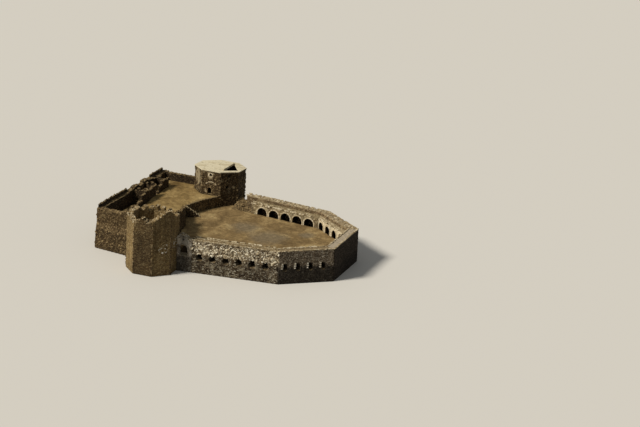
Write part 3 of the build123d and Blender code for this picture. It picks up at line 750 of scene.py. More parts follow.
def shaken(add: Adder, geometry: Source, per_metre: Source | float, depth: Source | float) -> Node:
    """Move points by a noise that is the same for touching pieces, so that no gap opens.

    Points on the ground stay where they are.

    Args:
        add: Adds a node to the tree.
        geometry: What is moved.
        per_metre: How many lumps there are in a metre.
        depth: About how far a point moves.

    Returns:
        The moved geometry.
    """
    place = add("GeometryNodeInputPosition")
    lumps = {"Vector": place, "Scale": per_metre, "Detail": 2.0, "Roughness": 0.6}
    noise = add("ShaderNodeTexNoise", lumps).outputs["Color"]
    centred = add("ShaderNodeVectorMath", {0: noise, 1: (0.5, 0.5, 0.5)}, operation="SUBTRACT")
    height = add("ShaderNodeSeparateXYZ", {0: place}).outputs["Z"]
    grounded = add("ShaderNodeMapRange", {0: height, 1: 0.002, 2: 0.06, 3: 0.0, 4: 4.0})
    reach = add("ShaderNodeMath", {0: grounded, 1: depth}, operation="MULTIPLY")
    offset = add("ShaderNodeVectorMath", {0: centred, "Scale": reach}, operation="SCALE")
    return add("GeometryNodeSetPosition", {"Geometry": geometry, "Offset": offset})


def tipped(add: Adder, rotation: Source, most: Triple, seed: Source) -> Node:
    """Tip stones at random.

    Args:
        add: Adds a node to the tree.
        rotation: How the stones lie.
        most: How far a stone turns at most about each of its axes, in radians.
        seed: Seed of what is random.

    Returns:
        How the tipped stones lie.
    """
    least = tuple(-angle for angle in most)
    angles = add("FunctionNodeRandomValue", {0: least, 1: most, "Seed": seed}, data_type="FLOAT_VECTOR")
    turn = add("FunctionNodeEulerToRotation", {0: angles})
    return add("FunctionNodeRotateRotation", {0: rotation, 1: turn}, rotation_space="LOCAL")


def weathering_tree() -> Tree:
    """Build the tree that lumps a wall's faces and crumbles its top.

    Returns:
        The geometry tree.
    """
    numbers = {"Lump Depth": 0.005, "Lumps Per Metre": 18.0, "Crumble Depth": 0.0, "Crumble Level": 0.9}
    tree, add, given = open_group("weathering", numbers)
    place = add("GeometryNodeInputPosition")
    height = add("ShaderNodeSeparateXYZ", {0: place}).outputs["Z"]
    facing = add("ShaderNodeSeparateXYZ", {0: add("GeometryNodeInputNormal")}).outputs["Z"]
    bite = add("ShaderNodeTexNoise", {"Vector": place, "Scale": 13.0, "Detail": 3.0})
    bitten = add("ShaderNodeMapRange", {0: bite, 1: 0.35, 2: 0.65, 3: 0.0, 4: -1.0})
    depth = add("ShaderNodeMath", {0: bitten, 1: given["Crumble Depth"]}, operation="MULTIPLY")
    upward = add("ShaderNodeMapRange", {0: facing, 1: 0.3, 2: 0.7, 3: 0.0, 4: 1.0})
    lowered = add("ShaderNodeMath", {0: depth, 1: upward}, operation="MULTIPLY")
    above = add("FunctionNodeCompare", {0: height, 1: given["Crumble Level"]}, operation="GREATER_THAN")
    offset = add("ShaderNodeCombineXYZ", {2: lowered})
    moved = {"Geometry": given["Geometry"], "Selection": above, "Offset": offset}
    crumbled = add("GeometryNodeSetPosition", moved)
    lumpy = shaken(add, crumbled, given["Lumps Per Metre"], given["Lump Depth"])
    close_group(add, lumpy, given["Material"])
    return tree


def course_tree() -> Tree:
    """Build the tree that lays a course of roughly squared stones along lines.

    Returns:
        The geometry tree. Each line's points carry a vector, facing, that points out of the wall.
    """
    numbers = {
        "Stone Length": 0.05, "Stone Depth": 0.04, "Stone Height": 0.03, "Unevenness": 0.25,
        "Missing": 0.0, "Seed": 1,
    }
    tree, add, given = open_group("stone course", numbers)
    line = add("GeometryNodeMeshToCurve", {0: given["Geometry"]})
    spacing = {"Curve": line, "Length": given["Stone Length"]}
    places = add("GeometryNodeResampleCurve", spacing, mode="LENGTH")
    facing = add("GeometryNodeInputNamedAttribute", {"Name": "facing"}, data_type="FLOAT_VECTOR")
    axes = {0: facing, 1: add("GeometryNodeInputTangent")}
    turned = add("FunctionNodeAxesToRotation", axes, primary_axis="Y", secondary_axis="X")
    tilted = tipped(add, turned, (0.12, 0.12, 0.12), given["Seed"])
    less = add("ShaderNodeMath", {0: 1.0, 1: given["Unevenness"]}, operation="SUBTRACT")
    more = add("ShaderNodeMath", {0: 1.0, 1: given["Unevenness"]}, operation="ADD")
    least = add("ShaderNodeCombineXYZ", {0: less, 1: less, 2: less})
    most = add("ShaderNodeCombineXYZ", {0: 1.08, 1: more, 2: more})
    shares = {0: least, 1: most, "Seed": given["Seed"]}
    share = add("FunctionNodeRandomValue", shares, data_type="FLOAT_VECTOR")
    sides = {i: given[f"Stone {name}"] for i, name in enumerate(("Length", "Depth", "Height"))}
    size = add("ShaderNodeCombineXYZ", sides)
    sized = add("ShaderNodeVectorMath", {0: share, 1: size}, operation="MULTIPLY")
    chance = add("FunctionNodeRandomValue", {2: 0.0, 3: 1.0, "Seed": 7}, data_type="FLOAT").outputs[1]
    kept = add("FunctionNodeCompare", {0: chance, 1: given["Missing"]}, operation="GREATER_EQUAL")
    block = add("GeometryNodeMeshCube", {"Size": (1.0, 1.0, 1.0)})
    laying = {"Points": places, "Selection": kept, "Instance": block, "Rotation": tilted, "Scale": sized}
    laid = add("GeometryNodeInstanceOnPoints", laying)
    rough = shaken(add, add("GeometryNodeRealizeInstances", {0: laid}), per_metre=38.0, depth=0.003)
    close_group(add, rough, given["Material"])
    return tree


def scatter_tree() -> Tree:
    """Build the tree that drops broken stones on the faces it is given.

    Returns:
        The geometry tree.
    """
    numbers = {
        "Per Square Metre": 100.0, "Smallest": 0.02, "Largest": 0.06, "Flatness": 0.7,
        "Lowest Level": 0.0, "Least Upward": 0.5, "Seed": 1,
    }
    tree, add, given = open_group("stone scatter", numbers)
    height = add("ShaderNodeSeparateXYZ", {0: add("GeometryNodeInputPosition")}).outputs["Z"]
    facing = add("ShaderNodeSeparateXYZ", {0: add("GeometryNodeInputNormal")}).outputs["Z"]
    high = add("FunctionNodeCompare", {0: height, 1: given["Lowest Level"]}, operation="GREATER_THAN")
    level = add("FunctionNodeCompare", {0: facing, 1: given["Least Upward"]}, operation="GREATER_THAN")
    chosen = add("FunctionNodeBooleanMath", {0: high, 1: level})
    ground = {"Mesh": given["Geometry"], "Selection": chosen, "Density": given["Per Square Metre"]}
    points = add("GeometryNodeDistributePointsOnFaces", {**ground, "Seed": given["Seed"]})
    spun = tipped(add, points.outputs["Rotation"], (0.35, 0.35, 3.1), given["Seed"])
    sizes = {2: given["Smallest"], 3: given["Largest"], "Seed": given["Seed"]}
    size = add("FunctionNodeRandomValue", sizes, data_type="FLOAT").outputs[1]
    shapes = {0: (0.75, 0.55, 0.6), 1: (1.3, 1.0, 1.0), "Seed": 5}
    shape = add("FunctionNodeRandomValue", shapes, data_type="FLOAT_VECTOR")
    pressed = add("ShaderNodeCombineXYZ", {0: 1.0, 1: 1.0, 2: given["Flatness"]})
    flat = add("ShaderNodeVectorMath", {0: shape, 1: pressed}, operation="MULTIPLY")
    scaled = add("ShaderNodeVectorMath", {0: flat, "Scale": size}, operation="SCALE")
    stone = add("GeometryNodeMeshIcoSphere", {"Radius": 0.5, "Subdivisions": 1})
    dropping = {"Points": points.outputs["Points"], "Instance": stone, "Rotation": spun, "Scale": scaled}
    dropped = add("GeometryNodeInstanceOnPoints", dropping)
    rough = shaken(add, add("GeometryNodeRealizeInstances", {0: dropped}), per_metre=30.0, depth=0.004)
    close_group(add, rough, given["Material"])
    return tree


class Mason:
    """Makes the castle's pieces from its three geometry trees."""

    def __init__(self) -> None:
        """Build the trees once."""
        self.weathering = weathering_tree()
        self.course = course_tree()
        self.scatter = scatter_tree()

    def place_piece(self, name: str, mesh: bpy.types.Mesh) -> Piece:
        """Put a new object of a mesh in the scene."""
        piece = bpy.data.objects.new(name, mesh)
        bpy.context.scene.collection.objects.link(piece)
        return piece

    def run_tree(self, piece: Piece, tree: Tree, finish: Finish, values: dict[str, Any]) -> None:
        """Give a piece a geometry tree and turn the result into a plain mesh.

        Args:
            piece: The object.
            tree: The geometry tree.
            finish: The finish that the result takes.
            values: The value of each other input, by its name.
        """
        modifier = piece.modifiers.new(tree.name, "NODES")
        modifier.node_group = tree
        values = {**values, "Material": finish.material()}
        for item in tree.interface.items_tree:
            if item.item_type == "SOCKET" and item.in_out == "INPUT" and item.name in values:
                modifier[item.identifier] = values[item.name]
        bpy.context.view_layer.update()
        graph = bpy.context.evaluated_depsgraph_get()
        mesh = bpy.data.meshes.new_from_object(piece.evaluated_get(graph), depsgraph=graph)
        piece.modifiers.clear()
        piece.data = mesh
        mesh.name = piece.name

    def finish_piece(self, piece: Piece) -> Piece:
        """Let a piece ride on the castle and report it.

        Args:
            piece: The finished object.

        Returns:
            The same object.
        """
        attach(piece, "root")
        log.info("%s: %d faces", piece.name, len(piece.data.polygons))
        return piece

    def weathered(
        self, node: str, finish: Finish, slot: str, ruin: Ruin, grain: float = 0.024, level: float = 0.9
    ) -> Piece:
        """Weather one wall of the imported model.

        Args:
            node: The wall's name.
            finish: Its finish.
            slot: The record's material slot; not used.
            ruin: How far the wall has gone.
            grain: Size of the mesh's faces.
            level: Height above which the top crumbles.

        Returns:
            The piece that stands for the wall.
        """
        mesh = bpy.data.objects[node].data.copy()
        shell = bmesh.new()
        shell.from_mesh(mesh)
        bmesh.ops.remove_doubles(shell, verts=shell.verts, dist=1e-5)
        shell.to_mesh(mesh)
        shell.free()
        mesh.materials.clear()
        piece = self.place_piece(f"{node}_masonry", mesh)
        remesh = piece.modifiers.new("grain", "REMESH")
        remesh.mode = "VOXEL"
        remesh.voxel_size = grain
        lump, crumble = ruin.value
        values = {"Lump Depth": lump, "Crumble Depth": crumble, "Crumble Level": level}
        self.run_tree(piece, self.weathering, finish, values)
        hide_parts(node)
        return self.finish_piece(piece)

    def courses(
        self, name: str, runs: Iterable[Run], size: Triple, finish: Finish, slot: str,
        unevenness: float = 0.25, missing: float = 0.0, seed: int = 1,
    ) -> Piece:
        """Lay courses of stones along lines.

        Args:
            name: The piece's name.
            runs: Points of each line, with the direction out of the wall.
            size: Length, depth and height of a stone.
            finish: The stones' finish.
            slot: The record's material slot; not used.
            unevenness: How far a stone's size strays, as a share.
            missing: Share of the stones that are lost.
            seed: Seed of what is random.

        Returns:
            The stones as one piece.
        """
        points: list[Vector] = []
        edges: list[tuple[int, int]] = []
        facings: list[Vector] = []
        for line, facing in runs:
            first = len(points)
            points += line
            facings += [facing] * len(line)
            edges += [(i, i + 1) for i in range(first, len(points) - 1)]
        mesh = bpy.data.meshes.new(name)
        mesh.from_pydata(points, edges, [])
        kept = mesh.attributes.new("facing", "FLOAT_VECTOR", "POINT")
        kept.data.foreach_set("vector", [value for facing in facings for value in facing])
        piece = self.place_piece(name, mesh)
        values = dict(zip(("Stone Length", "Stone Depth", "Stone Height"), size))
        values |= {"Unevenness": unevenness, "Missing": missing, "Seed": seed}
        self.run_tree(piece, self.course, finish, values)
        return self.finish_piece(piece)

    def scattered(
        self, name: str, hosts: Iterable[Piece], density: float, sizes: tuple[float, float],
        finish: Finish, slot: str, level: float, upward: float = 0.5, flatness: float = 0.7, seed: int = 1,
    ) -> Piece:
        """Drop broken stones on the tops of some pieces.

        Args:
            name: The new piece's name.
            hosts: The pieces that the stones lie on.
            density: Stones for each square metre.
            sizes: Smallest and largest stone.
            finish: The stones' finish.
            slot: The record's material slot; not used.
            level: Height below which no stone lies.
            upward: How far a face must look up to hold a stone.
            flatness: A stone's height as a share of its width.
            seed: Seed of what is random.

        Returns:
            The stones as one piece.
        """
        bed = bmesh.new()
        for host in hosts:
            bed.from_mesh(host.data)
        mesh = bpy.data.meshes.new(name)
        bed.to_mesh(mesh)
        bed.free()
        piece = self.place_piece(name, mesh)
        smallest, largest = sizes
        values = {
            "Per Square Metre": density, "Smallest": smallest, "Largest": largest, "Flatness": flatness,
            "Lowest Level": level, "Least Upward": upward, "Seed": seed,
        }
        self.run_tree(piece, self.scatter, finish, values)
        return self.finish_piece(piece)

    def faced(
        self, name: str, panels: Iterable[Sequence[Vector]], sizes: tuple[float, float], finish: Finish,
        slot: str, seed: int,
    ) -> Piece:
        """Face a wall with stones that stand proud of it.

        Args:
            name: The piece's name.
            panels: Four corners of each stretch of wall, anticlockwise from outside.
            sizes: Smallest and largest stone.
            finish: The stones' finish.
            slot: The record's material slot; only passed on to scattered, which does not use it.
            seed: Seed of what is random.

        Returns:
            The stones as one piece.
        """
        density, any_way, flatness = 260.0, -2.0, 0.3
        corners = [corner for panel in panels for corner in panel]
        faces = [range(first, first + 4) for first in range(0, len(corners), 4)]
        mesh = bpy.data.meshes.new(f"{name}_bed")
        mesh.from_pydata(corners, [], faces)
        bed = bpy.data.objects.new(f"{name}_bed", mesh)
        piece = self.scattered(name, [bed], density, sizes, finish, slot, 0.0, any_way, flatness, seed)
        bpy.data.objects.remove(bed)
        return piece

    def dressed(self, node: str, finish: Finish) -> None:
        """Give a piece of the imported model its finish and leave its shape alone."""
        mesh = bpy.data.objects[node].data
        mesh.materials.clear()
        mesh.materials.append(finish.material())
        log.info("%s: finished as packed", node)


def spaced(first: float, pitch: float, count: int) -> list[float]:
    """Distances of like bays along a wall."""
    return [first + pitch * i for i in range(count)]


def bow(place: float, level: float, radius: float, first: float, last: float, steps: int) -> list[Plan]:
    """Places on part of a circle on a wall.

    Args:
        place: The circle's middle along the wall.
        level: The middle's height.
        radius: The circle's radius.
        first: Angle where the part starts, from 0 along the wall.
        last: Angle where it ends.
        steps: How many steps it has.

    Returns:
        Distance along the wall and level of each place.
    """
    angles = [first + (last - first) * step / steps for step in range(steps + 1)]
    return [(place + radius * math.cos(angle), level + radius * math.sin(angle)) for angle in angles]


def arch(place: float, width: float, foot: float, crown: float, rim: float) -> list[Plan]:
    """Places up one jamb of an arch, round it and down the other.

    Args:
        place: The arch's middle along the wall.
        width: The opening's width.
        foot: Level where the jambs start.
        crown: Level of the opening's top.
        rim: Width of the ring of stones round it.

    Returns:
        Distance along the wall and level of each place, in the middle of the ring.
    """
    radius = (width + rim) / 2
    curve = bow(place, crown + rim / 2 - radius, radius, math.pi, 0.0, 18)
    return [(place - radius, foot), *curve, (place + radius, foot)]


def frame_runs(line: WallLine, place: float, width: float, sill: float, head: float) -> list[Run]:
    """Runs of stones round a square-headed opening in a wall's outer face.

    Args:
        line: The wall's plan line.
        place: The opening's middle along it.
        width: Its width.
        sill: Level of its sill.
        head: Level of its head.

    Returns:
        The runs up both jambs and across the head and the sill.
    """
    margin, inset = 0.01, 0.004
    left = place - width / 2 - margin
    right = place + width / 2 + margin
    ends = (
        ((left, sill), (left, head)),
        ((right, sill), (right, head)),
        ((left, head + margin), (right, head + margin)),
        ((left, sill - margin), (right, sill - margin)),
    )
    return [line.run(pair, inset) for pair in ends]


def corner_run(centre_y: float, index: int, inset: float, top: float) -> Run:
    """Run of stones up the corner of a tower.

    Args:
        centre_y: Where the tower's middle is.
        index: The corner, counted clockwise from the north face's start.
        inset: How far inside the corner the stones' middle is.
        top: Level where the run ends.

    Returns:
        The run's points and the direction that its stones face.
    """
    foot_level = 0.02
    x, y = PLAN.tower_corner(centre_y, index)
    out = Vector((x, y - centre_y, 0)).normalized()
    foot = Vector((x, y, foot_level)) - out * inset
    return [foot, Vector((foot.x, foot.y, top))], out


@dataclass
class SeaBattery:
    """The battery: its outer walls with parapets and ports, its casemates and its court."""

    mason: Mason
    north_bays: int = 5
    south_bays: int = 6
    side_arch: float = 0.34
    splay_arch: float = 0.256
    splay_arch_first: float = 0.385
    splay_arch_pitch: float = 0.386
    splay_rings: int = 3
    north_standing: float = 2.82
    port_sill: float = 0.415
    port_head: float = 0.645
    port_width: float = 0.15
    facing_foot: float = 0.62
    facing_top: float = 0.99
    slot: str = "battery_rubble_stone"

    def build(self) -> None:
        """Build the walls, the casemates and the court in order."""
        self.build_walls()
        self.build_casemates()
        self.build_parapets()
        self.build_ports()
        self.build_court()

    def north_places(self) -> list[float]:
        """Distances of the north bays along the north side."""
        places = spaced(PLAN.side_first, PLAN.side_pitch, self.north_bays)
        return [PLAN.north.length - place for place in places]

    def build_walls(self) -> None:
        """Weather the outer walls."""
        for name, finish, grain in (
            ("north", BATTERY_STONE, 0.024),
            ("northeast", BATTERY_STONE, 0.024),
            ("east", EAST_WALL_STONE, 0.024),
            ("southeast", SOUTHEAST_WALL_STONE, 0.024),
            ("south", SOUTH_WALL_STONE, 0.02),
        ):
            self.mason.weathered(f"battery_{name}_wall", finish, self.slot, Ruin.WORN, grain)

    def build_casemates(self) -> None:
        """Weather the casemates and ring their arches, but for the two beside the east wall."""
        slot = "casemate_plaster"
        for name, finish in (
            ("north", NORTH_CASEMATE_STONE),
            ("northeast", SUNLIT_CASEMATE_STONE),
            ("southeast", CASEMATE_STONE),
            ("south", CASEMATE_STONE),
        ):
            self.mason.weathered(f"{name}_casemates", finish, slot, Ruin.SOUND, 0.022)
        splayed = spaced(self.splay_arch_first, self.splay_arch_pitch, self.splay_rings)
        mirrored = [PLAN.southeast.length - place for place in splayed]
        south = spaced(PLAN.side_first, PLAN.side_pitch, self.south_bays)
        foot, crown, rim, proud = PLAN.court_level, PLAN.arch_crown, 0.03, 0.002
        runs = [
            line.run(arch(place, width, foot, crown, rim), depth + proud, inwards=True)
            for line, places, width, depth in (
                (PLAN.north, self.north_places(), self.side_arch, PLAN.side_depth),
                (PLAN.south, south, self.side_arch, PLAN.side_depth),
                (PLAN.northeast, splayed, self.splay_arch, PLAN.splay_depth),
                (PLAN.southeast, mirrored, self.splay_arch, PLAN.splay_depth),
            )
            for place in places
        ]
        self.mason.courses("casemate_arch_stones", runs, (0.036, 0.02, 0.032), RIM_STONE, slot, 0.15)

    def build_parapets(self) -> None:
        """Lay rows of pale stones along the parapets and the inner edge of the walk.

        A row of dark stones lies under the row at the walk's edge and shows in its gaps.
        """
        proud = 0.004
        top = PLAN.parapet_level + proud
        walk = PLAN.walk_level + proud
        start = PLAN.north.length - self.north_standing
        # Each row: wall, lengths without stones at its start and end, level, distance inside its face.
        coping = [
            line.row(*sizes)
            for line, *sizes in (
                (PLAN.north, start, 0.0, top, 0.025),
                (PLAN.north, start, 0.0, top, 0.2),
                (PLAN.north, start + 0.2, 0.2, top, 0.115),
                (PLAN.north, start + 0.36, 0.3, walk, 0.4),
                (PLAN.northeast, 0.0, 0.0, top, 0.025),
                (PLAN.northeast, 0.0, 0.1, top, 0.14),
                (PLAN.northeast, 0.05, 0.18, top, 0.26),
                (PLAN.northeast, 0.3, 0.4, walk, 0.38),
                (PLAN.east, 0.0, 0.0, top, 0.03),
                (PLAN.east, 0.15, 0.15, top, 0.29),
                (PLAN.southeast, 0.0, 0.0, top, 0.025),
                (PLAN.southeast, 0.18, 0.05, top, 0.26),
                (PLAN.south, 0.0, PLAN.gate_block, top, 0.025),
                (PLAN.south, 0.1, PLAN.gate_block, top, 0.2),
            )
        ]
        self.mason.courses(
            "battery_coping_stones", coping, (0.055, 0.045, 0.018), COPING_STONE, self.slot, 0.35, 0.12
        )
        edges = [
            line.row(cut, end_cut, walk, depth - 0.014, inwards=True)
            for line, cut, end_cut, depth in (
                (PLAN.north, start + 0.38, 0.3, PLAN.side_depth),
                (PLAN.northeast, 0.3, 0.4, PLAN.splay_depth),
                (PLAN.southeast, 0.4, 0.3, PLAN.splay_depth),
                (PLAN.south, 0.3, PLAN.gate_block, PLAN.side_depth),
            )
        ]
        # Dark stones under the walk's edge row, showing in its gaps.
        self.mason.courses("walk_edge_dark_stones", edges, (0.06, 0.036, 0.012), FALLEN_STONE, self.slot, 0.1)
        self.mason.courses(
            "walk_edge_stones", edges, (0.085, 0.042, 0.034), RIM_STONE, self.slot, 0.35, 0.3, seed=5
        )

    def build_ports(self) -> None:
        """Frame the gun ports and face the sunny south wall with pale stones."""
        frames: list[Run] = []
        jambs: list[Run] = []
        size = (self.port_width, self.port_sill, self.port_head)
        face = PLAN.southeast
        for place in spaced(PLAN.splay_first, PLAN.splay_pitch, PLAN.splay_bays):
            frames += frame_runs(PLAN.northeast, place, *size)
            west = face.length - place + self.port_width / 2 + 0.02
            jamb = ((west + 0.002, self.port_sill + 0.085), (west - 0.008, self.port_head - 0.01))
            jambs.append(face.run(jamb, 0.006))
        self.mason.courses(
            "southeast_port_jamb_stones", jambs, (0.046, 0.026, 0.052), LIMEWASHED_STONE, self.slot, 0.3
        )
        for place in self.north_places():
            frames += frame_runs(PLAN.north, place, *size)
        self.mason.courses(
            "gun_port_stones", frames, (0.036, 0.024, 0.026), COPING_STONE, self.slot, 0.3, 0.15
        )
        end = PLAN.south.length - PLAN.gate_block
        low, high = self.facing_foot, self.facing_top
        panel = PLAN.south.run(((end, low), (0.0, low), (0.0, high), (end, high)), 0.004)[0]
        self.mason.faced(
            "south_wall_facing_stones", [panel], (0.04, 0.12), FACING_STONE, self.slot, seed=3
        )

    def build_court(self) -> None:
        """Finish the court's earth and drop stones on it."""
        earth, rubble = "sandy_earth", "fallen_rubble"
        court = self.mason.weathered("lower_court_fill", COURT_EARTH, earth, Ruin.SOUND, 0.045)
        # The ramp and the casemates' earth take earth with painted shade.
        ramp = self.mason.weathered("gate_ramp", SHADE_PAINTED_EARTH, earth, Ruin.SOUND, 0.03)
        self.mason.dressed("casemate_earth", SHADE_PAINTED_EARTH)
        self.mason.scattered(
            "court_loose_stones", [court, ramp], 14.0, (0.012, 0.035), FALLEN_STONE, earth,
            level=0.5, upward=0.8,
        )
        heap = self.mason.weathered("battery_breach_rubble", COURT_STONE, rubble, Ruin.BROKEN, 0.022, 0.3)
        self.mason.scattered(
            "breach_fallen_stones", [heap], 420.0, (0.03, 0.085), FALLEN_STONE, rubble,
            level=0.4, upward=0.4, seed=4,
        )


@dataclass
class NorthTower:
    """The roofed octagonal tower."""

    mason: Mason
    door_offset: float = 0.35
    door_width: float = 0.135
    door_sill: float = 1.0
    door_head: float = 1.215
    window_offset: float = 0.322
    window_level: float = 1.627
    window_ring: float = 0.07
    scar_offset: float = 0.3
    scar_half: float = 0.165
    scar_crown: float = 1.405
    scar_rise: float = 0.062
    eaves_level: float = 1.675
    roof_slope: float = 0.1015
    corner_inset: float = 0.012
    slot: str = "north_tower_rubble_stone"

    def build(self) -> None:
        """Build the walls, the roof and the dressed stones in order."""
        for name in TOWER_FACES:
            node = f"north_tower_{name}_wall"
            self.mason.weathered(node, NORTH_TOWER_STONE, self.slot, Ruin.SOUND, 0.022)
        for name, finish in (
            ("ground_floor", COURT_STONE),
            ("upper_floor", COURT_STONE),
            ("roof_west", ROOF_PLASTER),
            ("roof_kerb", ROOF_PLASTER),
            ("roof_east", WORN_SHADED_ROOF_PLASTER),
        ):
            self.mason.dressed(f"north_tower_{name}", finish)
        self.build_stones()

    def build_stones(self) -> None:
        """Lay the corner stones, the stones round the doorway and the window, and the porch's scar."""
        corners: list[Run] = []
        for index in range(len(TOWER_FACES)):
            northward = PLAN.tower_corner(PLAN.tower_y, index)[1] - PLAN.tower_y
            top = self.eaves_level - self.roof_slope * northward
            corners.append(corner_run(PLAN.tower_y, index, self.corner_inset, top - 0.03))
        face = PLAN.tower_face(PLAN.tower_y, 4)
        doorway = arch(self.door_offset, self.door_width, self.door_sill, self.door_head, rim=0.026)
        door = face.run(doorway, 0.004)
        ring = bow(self.window_offset, self.window_level, self.window_ring, 0.0, math.tau, 16)
        shares = [step / 6 - 1 for step in range(13)]
        # A porch that is gone has left the low arch of its plaster above the doorway.
        scar = [
            (self.scar_offset + self.scar_half * share, self.scar_crown - self.scar_rise * share * share)
            for share in shares
        ]
        for name, runs, size, finish, unevenness, missing in (
            ("corner_stones", corners, (0.042, 0.036, 0.05), QUOIN_STONE, 0.4, 0.35),
            ("doorway_stones", [door], (0.03, 0.022, 0.024), QUOIN_STONE, 0.25, 0.0),
            ("window_stones", [face.run(ring, 0.003)], (0.034, 0.014, 0.036), RIM_STONE, 0.45, 0.0),
            ("plaster_scar", [face.run(scar, 0.002)], (0.034, 0.01, 0.034), RIM_STONE, 0.3, 0.08),
        ):
            self.mason.courses(f"north_tower_{name}", runs, size, finish, self.slot, unevenness, missing)


@dataclass
class SouthTower:
    """The ruined octagonal tower, open to the sky."""

    mason: Mason
    slot: str = "south_tower_stone"
    corner_inset: float = 0.014
    shaded_faces: tuple[str, ...] = ("south",)
    corner_tops: tuple[float, ...] = (1.68, 1.6, 1.75, 1.95, 1.72, 1.62, 1.7, 1.72)

    def build(self) -> None:
        """Build the broken walls, the rubble inside them and the stones on them."""
        walls = []
        for name in TOWER_FACES:
            # Faces in shaded_faces take the copy with painted shade.
            finish = SHADED_TOWER_STONE if name in self.shaded_faces else SOUTH_TOWER_STONE
            node = f"south_tower_{name}_wall"
            walls.append(self.mason.weathered(node, finish, self.slot, Ruin.BROKEN, 0.022, 1.4))
        self.mason.scattered(
            "south_tower_crest_stones", walls, 340.0, (0.025, 0.075), COPING_STONE, self.slot,
            level=1.5, seed=2,
        )
        rubble = "fallen_rubble"
        heap = self.mason.weathered("south_tower_rubble", COURT_STONE, rubble, Ruin.BROKEN, 0.03, 1.0)
        self.mason.scattered(
            "south_tower_fallen_stones", [heap], 260.0, (0.03, 0.1), FALLEN_STONE, rubble,
            level=1.3, seed=6,
        )
        remains = (
            (2, ((0.5, 0.88), (0.3, 0.74), (0.04, 0.9), (0.22, 1.14))),
            (3, ((0.46, 0.84), (0.24, 0.7), (0.03, 0.82), (0.14, 1.02))),
        )
        panels = [PLAN.tower_face(-PLAN.tower_y, i).run(corners, 0.006)[0] for i, corners in remains]
        self.mason.faced(
            "south_tower_lime_remains", panels, (0.03, 0.09), LIMEWASHED_STONE, self.slot, seed=8
        )
        runs = [
            corner_run(-PLAN.tower_y, index, self.corner_inset, top - 0.08)
            for index, top in enumerate(self.corner_tops)
        ]
        self.mason.courses(
            "south_tower_corner_stones", runs, (0.045, 0.036, 0.052), QUOIN_STONE, self.slot, 0.4, 0.35
        )


@dataclass
class GateWall:
    """The gate beside the south tower."""

    mason: Mason
    offset: float = 0.205
    width: float = 0.28
    head: float = 0.865
    jamb: float = 0.16
    slot: str = "battery_rubble_stone"

    def build(self) -> None:
        """Build the wall, its arch and the stones on its crest."""
        wall = self.mason.weathered("gate_wall", GATE_STONE, self.slot, Ruin.BROKEN, 0.018, 1.0)
        south = PLAN.south
        place, foot = south.length - self.offset, self.head - self.jamb
        run = south.run(arch(place, self.width, foot, self.head, rim=0.034), 0.003)
        self.mason.courses(
            "gate_arch_stones", [run], (0.04, 0.026, 0.036), GATE_RIM_STONE, self.slot, 0.2
        )
        self.mason.scattered(
            "gate_wall_crest_stones", [wall], 450.0, (0.025, 0.06), COPING_STONE, self.slot, level=1.03
        )


@dataclass
class UpperCourt:
    """The raised court with its walls, its stair and its earth."""

    mason: Mason
    stair_head: Plan = (-0.26, 0.48)
    stair_foot: Plan = (0.091, 0.728)
    stair_steps: int = 14
    stair_width: float = 0.22
    slot: str = "court_rubble_stone"

    def build(self) -> None:
        """Build the walls, the stair and the earth in order."""
        walls = [
            self.mason.weathered(f"{name}_wall", finish, self.slot, Ruin.BROKEN, grain)
            for name, finish, grain in (
                ("upper_court_west", SHADED_COURT_STONE, 0.024),
                ("upper_court_southwest", COURT_STONE, 0.024),
                ("upper_court_north", SHADED_COURT_STONE, 0.024),
                ("tower_link", COURT_STONE, 0.02),
            )
        ]
        southwest = walls[1]
        self.mason.scattered(
            "court_wall_crest_stones", walls, 330.0, (0.025, 0.07), FALLEN_STONE, self.slot,
            level=1.15, seed=8,
        )
        self.mason.scattered(
            "southwest_foot_stones", [southwest], 260.0, (0.03, 0.09), FALLEN_STONE, self.slot,
            level=0.1, upward=0.1, seed=9,
        )
        wall = self.mason.weathered("court_retaining_wall", COURT_STONE, self.slot, Ruin.WORN, 0.02)
        self.mason.scattered(
            "retaining_wall_crest_stones", [wall], 160.0, (0.02, 0.05), FALLEN_STONE, self.slot,
            level=0.95, upward=0.6,
        )
        self.mason.dressed("court_stair", SHADED_COURT_STONE)
        self.build_stair_stones()
        earth = "sandy_earth"
        court = self.mason.weathered("upper_court_fill", UPPER_EARTH, earth, Ruin.SOUND, 0.045)
        self.mason.scattered(
            "upper_court_loose_stones", [court], 22.0, (0.012, 0.045), FALLEN_STONE, earth,
            level=0.7, upward=0.8, seed=3,
        )

    def build_stair_stones(self) -> None:
        """Lay the pale stones that are left along the edge of every third step."""
        line = WallLine(self.stair_head, self.stair_foot)
        rise = (PLAN.upper_court_level - PLAN.court_level) / self.stair_steps
        going = line.length / self.stair_steps
        margin, sunk, setback = 0.012, 0.004, 0.008
        half = self.stair_width / 2 - margin
        runs: list[Run] = []
        for step in range(2, self.stair_steps + 1, 3):
            level = PLAN.upper_court_level - (step - 1) * rise - sunk
            distance = step * going - setback
            ends = [line.point(distance, level, -half), line.point(distance, level, half)]
            runs.append((ends, line.forward))
        self.mason.courses("stair_edge_stones", runs, (0.07, 0.03, 0.026), COPING_STONE, self.slot, 0.3)


@dataclass
class WestRange:
    """The ruined rooms along the west wall."""

    mason: Mason
    slot: str = "court_rubble_stone"

    def build(self) -> None:
        """Build the front wall, the cross walls and the stones on them."""
        walls = [
            self.mason.weathered(name, SHADED_COURT_STONE, self.slot, Ruin.BROKEN, 0.018, 1.0)
            for name in ("west_range_front_wall", "west_range_cross_walls")
        ]
        self.mason.scattered(
            "west_range_crest_stones", walls, 520.0, (0.025, 0.07), FALLEN_STONE, self.slot,
            level=1.0, seed=5,
        )


